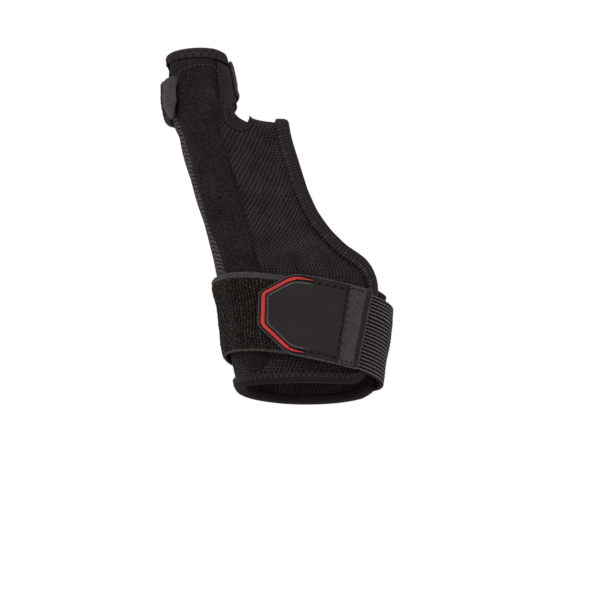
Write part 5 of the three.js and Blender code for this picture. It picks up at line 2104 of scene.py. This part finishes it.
@dataclass
class ThumbStrap(SubAssembly):
    """The narrow loop strap round the sleeve, with the grained patch that holds its end."""

    pile_height: float = 0.12

    def base(self, u: Array, angle: Array) -> Array:
        """Height of the strap's underside."""
        return self.form.strap_base(u, angle) + self.sizes.gap

    def strap(self) -> None:
        """The loop strap."""
        s = self.sizes
        start, end = s.thumb_tab_angle + 0.22, TURN + 0.1
        angles = np.linspace(start, end, 500)

        def height_at(angle: Array, share: Array) -> Array:
            """The strap's height at an angle, a share of the way up it."""
            rise = s.thumb_strap_rise * (1 + np.cos(angle)) / 2
            full = 1 - 0.15 * ease(start + 0.7, start, angle) - 0.09 * ease(end - 1.2, end, angle)
            return s.thumb_strap_low + rise + s.thumb_strap_height * share * full

        middle = self.form.row_for_height(height_at(angles, np.array(0.5)), angles)
        run = travelled(self.form.point(middle, angles))
        along = spaced(run[-1], 0.5, s.thumb_strap_wall / 2)
        across = spaced(s.thumb_strap_height, 0.5, s.thumb_strap_wall / 2)
        at_angles = np.interp(along, run, angles)
        angle, share = np.meshgrid(at_angles, across / s.thumb_strap_height, indexing="ij")
        u = np.minimum(self.form.row_for_height(height_at(angle, share), angle), self.form.top - 0.02)
        high = self.base(u, angle) + s.thumb_strap_wall
        low = np.minimum(high - s.thumb_strap_wall, SleeveTop(self.form).surface(u, angle) + 0.45)
        inside = np.minimum(from_ends(along)[:, None], from_ends(across)[None, :])
        pile = np.random.default_rng(11).normal(0, self.pile_height, low.shape) * ease(0.6, 1.8, inside)
        cloth = flat_grid(along, across - across[-1] / 2)
        piece = Bench.sheet("thumb_loop_strap", self.form, (u, angle), low, high + pile, cloth,
                            (from_ends(along), from_ends(across)))
        Bench.smooth(piece, 180)
        self.dress(piece, LOOPS, "loop_fabric", "thumb_strap")

    def tab_place(self, across: Array, along: Array) -> Places:
        """A place on the patch, across it in millimetres and up it from its point, which leans aside."""
        s = self.sizes
        lean = s.thumb_tab_lean * (1 - along / s.thumb_tab_length)
        angle = s.thumb_tab_angle + (across + lean) / (s.thumb_depth / 2)
        low = s.thumb_strap_low + s.thumb_strap_height - s.thumb_tab_drop - s.thumb_tab_length
        return self.form.row_for_height(low + along, angle), angle

    def tab(self) -> None:
        """The grained patch, pointed at its lower end."""
        s = self.sizes
        half, length = s.thumb_tab_width / 2, s.thumb_tab_length
        corners = [(0, 0, 0), (1.0, 0.0, 0.9), (half, length * 0.38, 3.5), (half * 0.9, length, 2.2)]
        corners.append((0, length, 0))
        first = filleted(corners, 70)
        second = first * np.array([-1, 1])
        outline = np.concatenate([second, first[1:-1][::-1]])

        def base(u: Array, angle: Array) -> Array:
            """The patch lies on the strap."""
            return self.base(u, angle) + s.thumb_strap_wall + s.gap / 2

        wall = s.thumb_tab_wall
        profile = [(0.0, 0.3), (0.05, 0.65), (0.2, wall - 0.1), (0.45, wall), (0.85, wall)]
        profile += [(1.1, wall - 0.12), (1.4, wall)]
        patch = Patch("grained_thumb_tab", self.form, outline, self.tab_place, base, profile,
                      (3.2, length - 4), steps=6, along_axis=1)
        self.patched(patch, GRAIN, "grained_vinyl", "thumb_tab")

    def build(self) -> None:
        """Models the strap and its patch."""
        self.strap()
        self.tab()


@dataclass
class Studio:
    """Camera, floor and soft light. Sizes are in metres here."""

    aim: Colour = (-0.0035, 0.0, 0.0128)
    distance: float = 0.7
    elevation: float = -12.0
    view_width: float = 0.3
    floor_level: float = -0.25
    ambient: float = 0.4
    lights: tuple = (
        ("key", (-0.3, -0.5, 0.55), 0.47, 2.7),
        ("fill", (1.1, -0.8, 0.2), 1.0, 5.4),
        ("rim_left", (-1.0, 0.5, 0.3), 0.6, 5.4),
        ("rim_right", (1.0, 0.5, 0.5), 0.6, 4.2),
    )

    def camera(self) -> None:
        """The camera at the photograph's viewing angle."""
        turn = math.radians(self.elevation)
        back = Vector((0, -math.cos(turn), math.sin(turn)))
        data = bpy.data.cameras.new("camera")
        data.lens = data.sensor_width / self.view_width * self.distance
        data.clip_start, data.clip_end = 0.01, 20
        camera = bpy.data.objects.new("camera", data)
        camera.location = Vector(self.aim) + back * self.distance
        camera.rotation_euler = (-back).to_track_quat("-Z", "Y").to_euler()
        bpy.context.scene.collection.objects.link(camera)
        bpy.context.scene.camera = camera

    def light(self, name: str, place: Colour, size: float, watts: float) -> None:
        """A square soft light that faces the splint."""
        data = bpy.data.lights.new(name, "AREA")
        data.shape = "SQUARE"
        data.size = size
        data.energy = watts
        light = bpy.data.objects.new(name, data)
        light.location = place
        light.rotation_euler = (Vector(self.aim) - Vector(place)).to_track_quat("-Z", "Y").to_euler()
        bpy.context.scene.collection.objects.link(light)

    def floor(self) -> None:
        """A wide pale floor."""
        bpy.ops.object.select_all(action="DESELECT")
        bpy.ops.mesh.primitive_plane_add(size=12, location=(0, 0, self.floor_level))
        floor = bpy.context.active_object
        floor.name = "studio_floor"
        floor.data.materials.append(StudioFloor("studio_floor").material())

    def world(self) -> None:
        """A white room to the eye, dimmer as a light."""
        world = bpy.data.worlds.new("studio")
        world.use_nodes = True
        world.node_tree.nodes.clear()
        wiring = Wiring(world.node_tree)
        seen = wiring.node("ShaderNodeLightPath").outputs["Is Camera Ray"]
        values = {0: seen}
        for place, strength in enumerate((self.ambient, 1.0), start=1):
            shade = wiring.node("ShaderNodeBackground", None, {"Color": (1, 1, 1, 1), "Strength": strength})
            values[place] = shade.outputs[0]
        both = wiring.node("ShaderNodeMixShader", None, values)
        wiring.node("ShaderNodeOutputWorld", None, {0: both.outputs[0]})
        bpy.context.scene.world = world

    def build(self) -> None:
        """Sets the scene."""
        self.camera()
        self.floor()
        self.world()
        for light in self.lights:
            self.light(*light)
        bpy.context.scene.view_settings.view_transform = "Standard"


def main() -> None:
    """Builds the splint and its studio."""
    logging.basicConfig(level=logging.INFO, format="%(name)s %(message)s")
    form = Form(Sizes())
    for group in (FabricShell, Bindings, HoleFacing, StayPocket, SleeveTop, WristStrap, ThumbStrap):
        group(form).build()
    Studio().build()


if __name__ == "__main__":
    main()
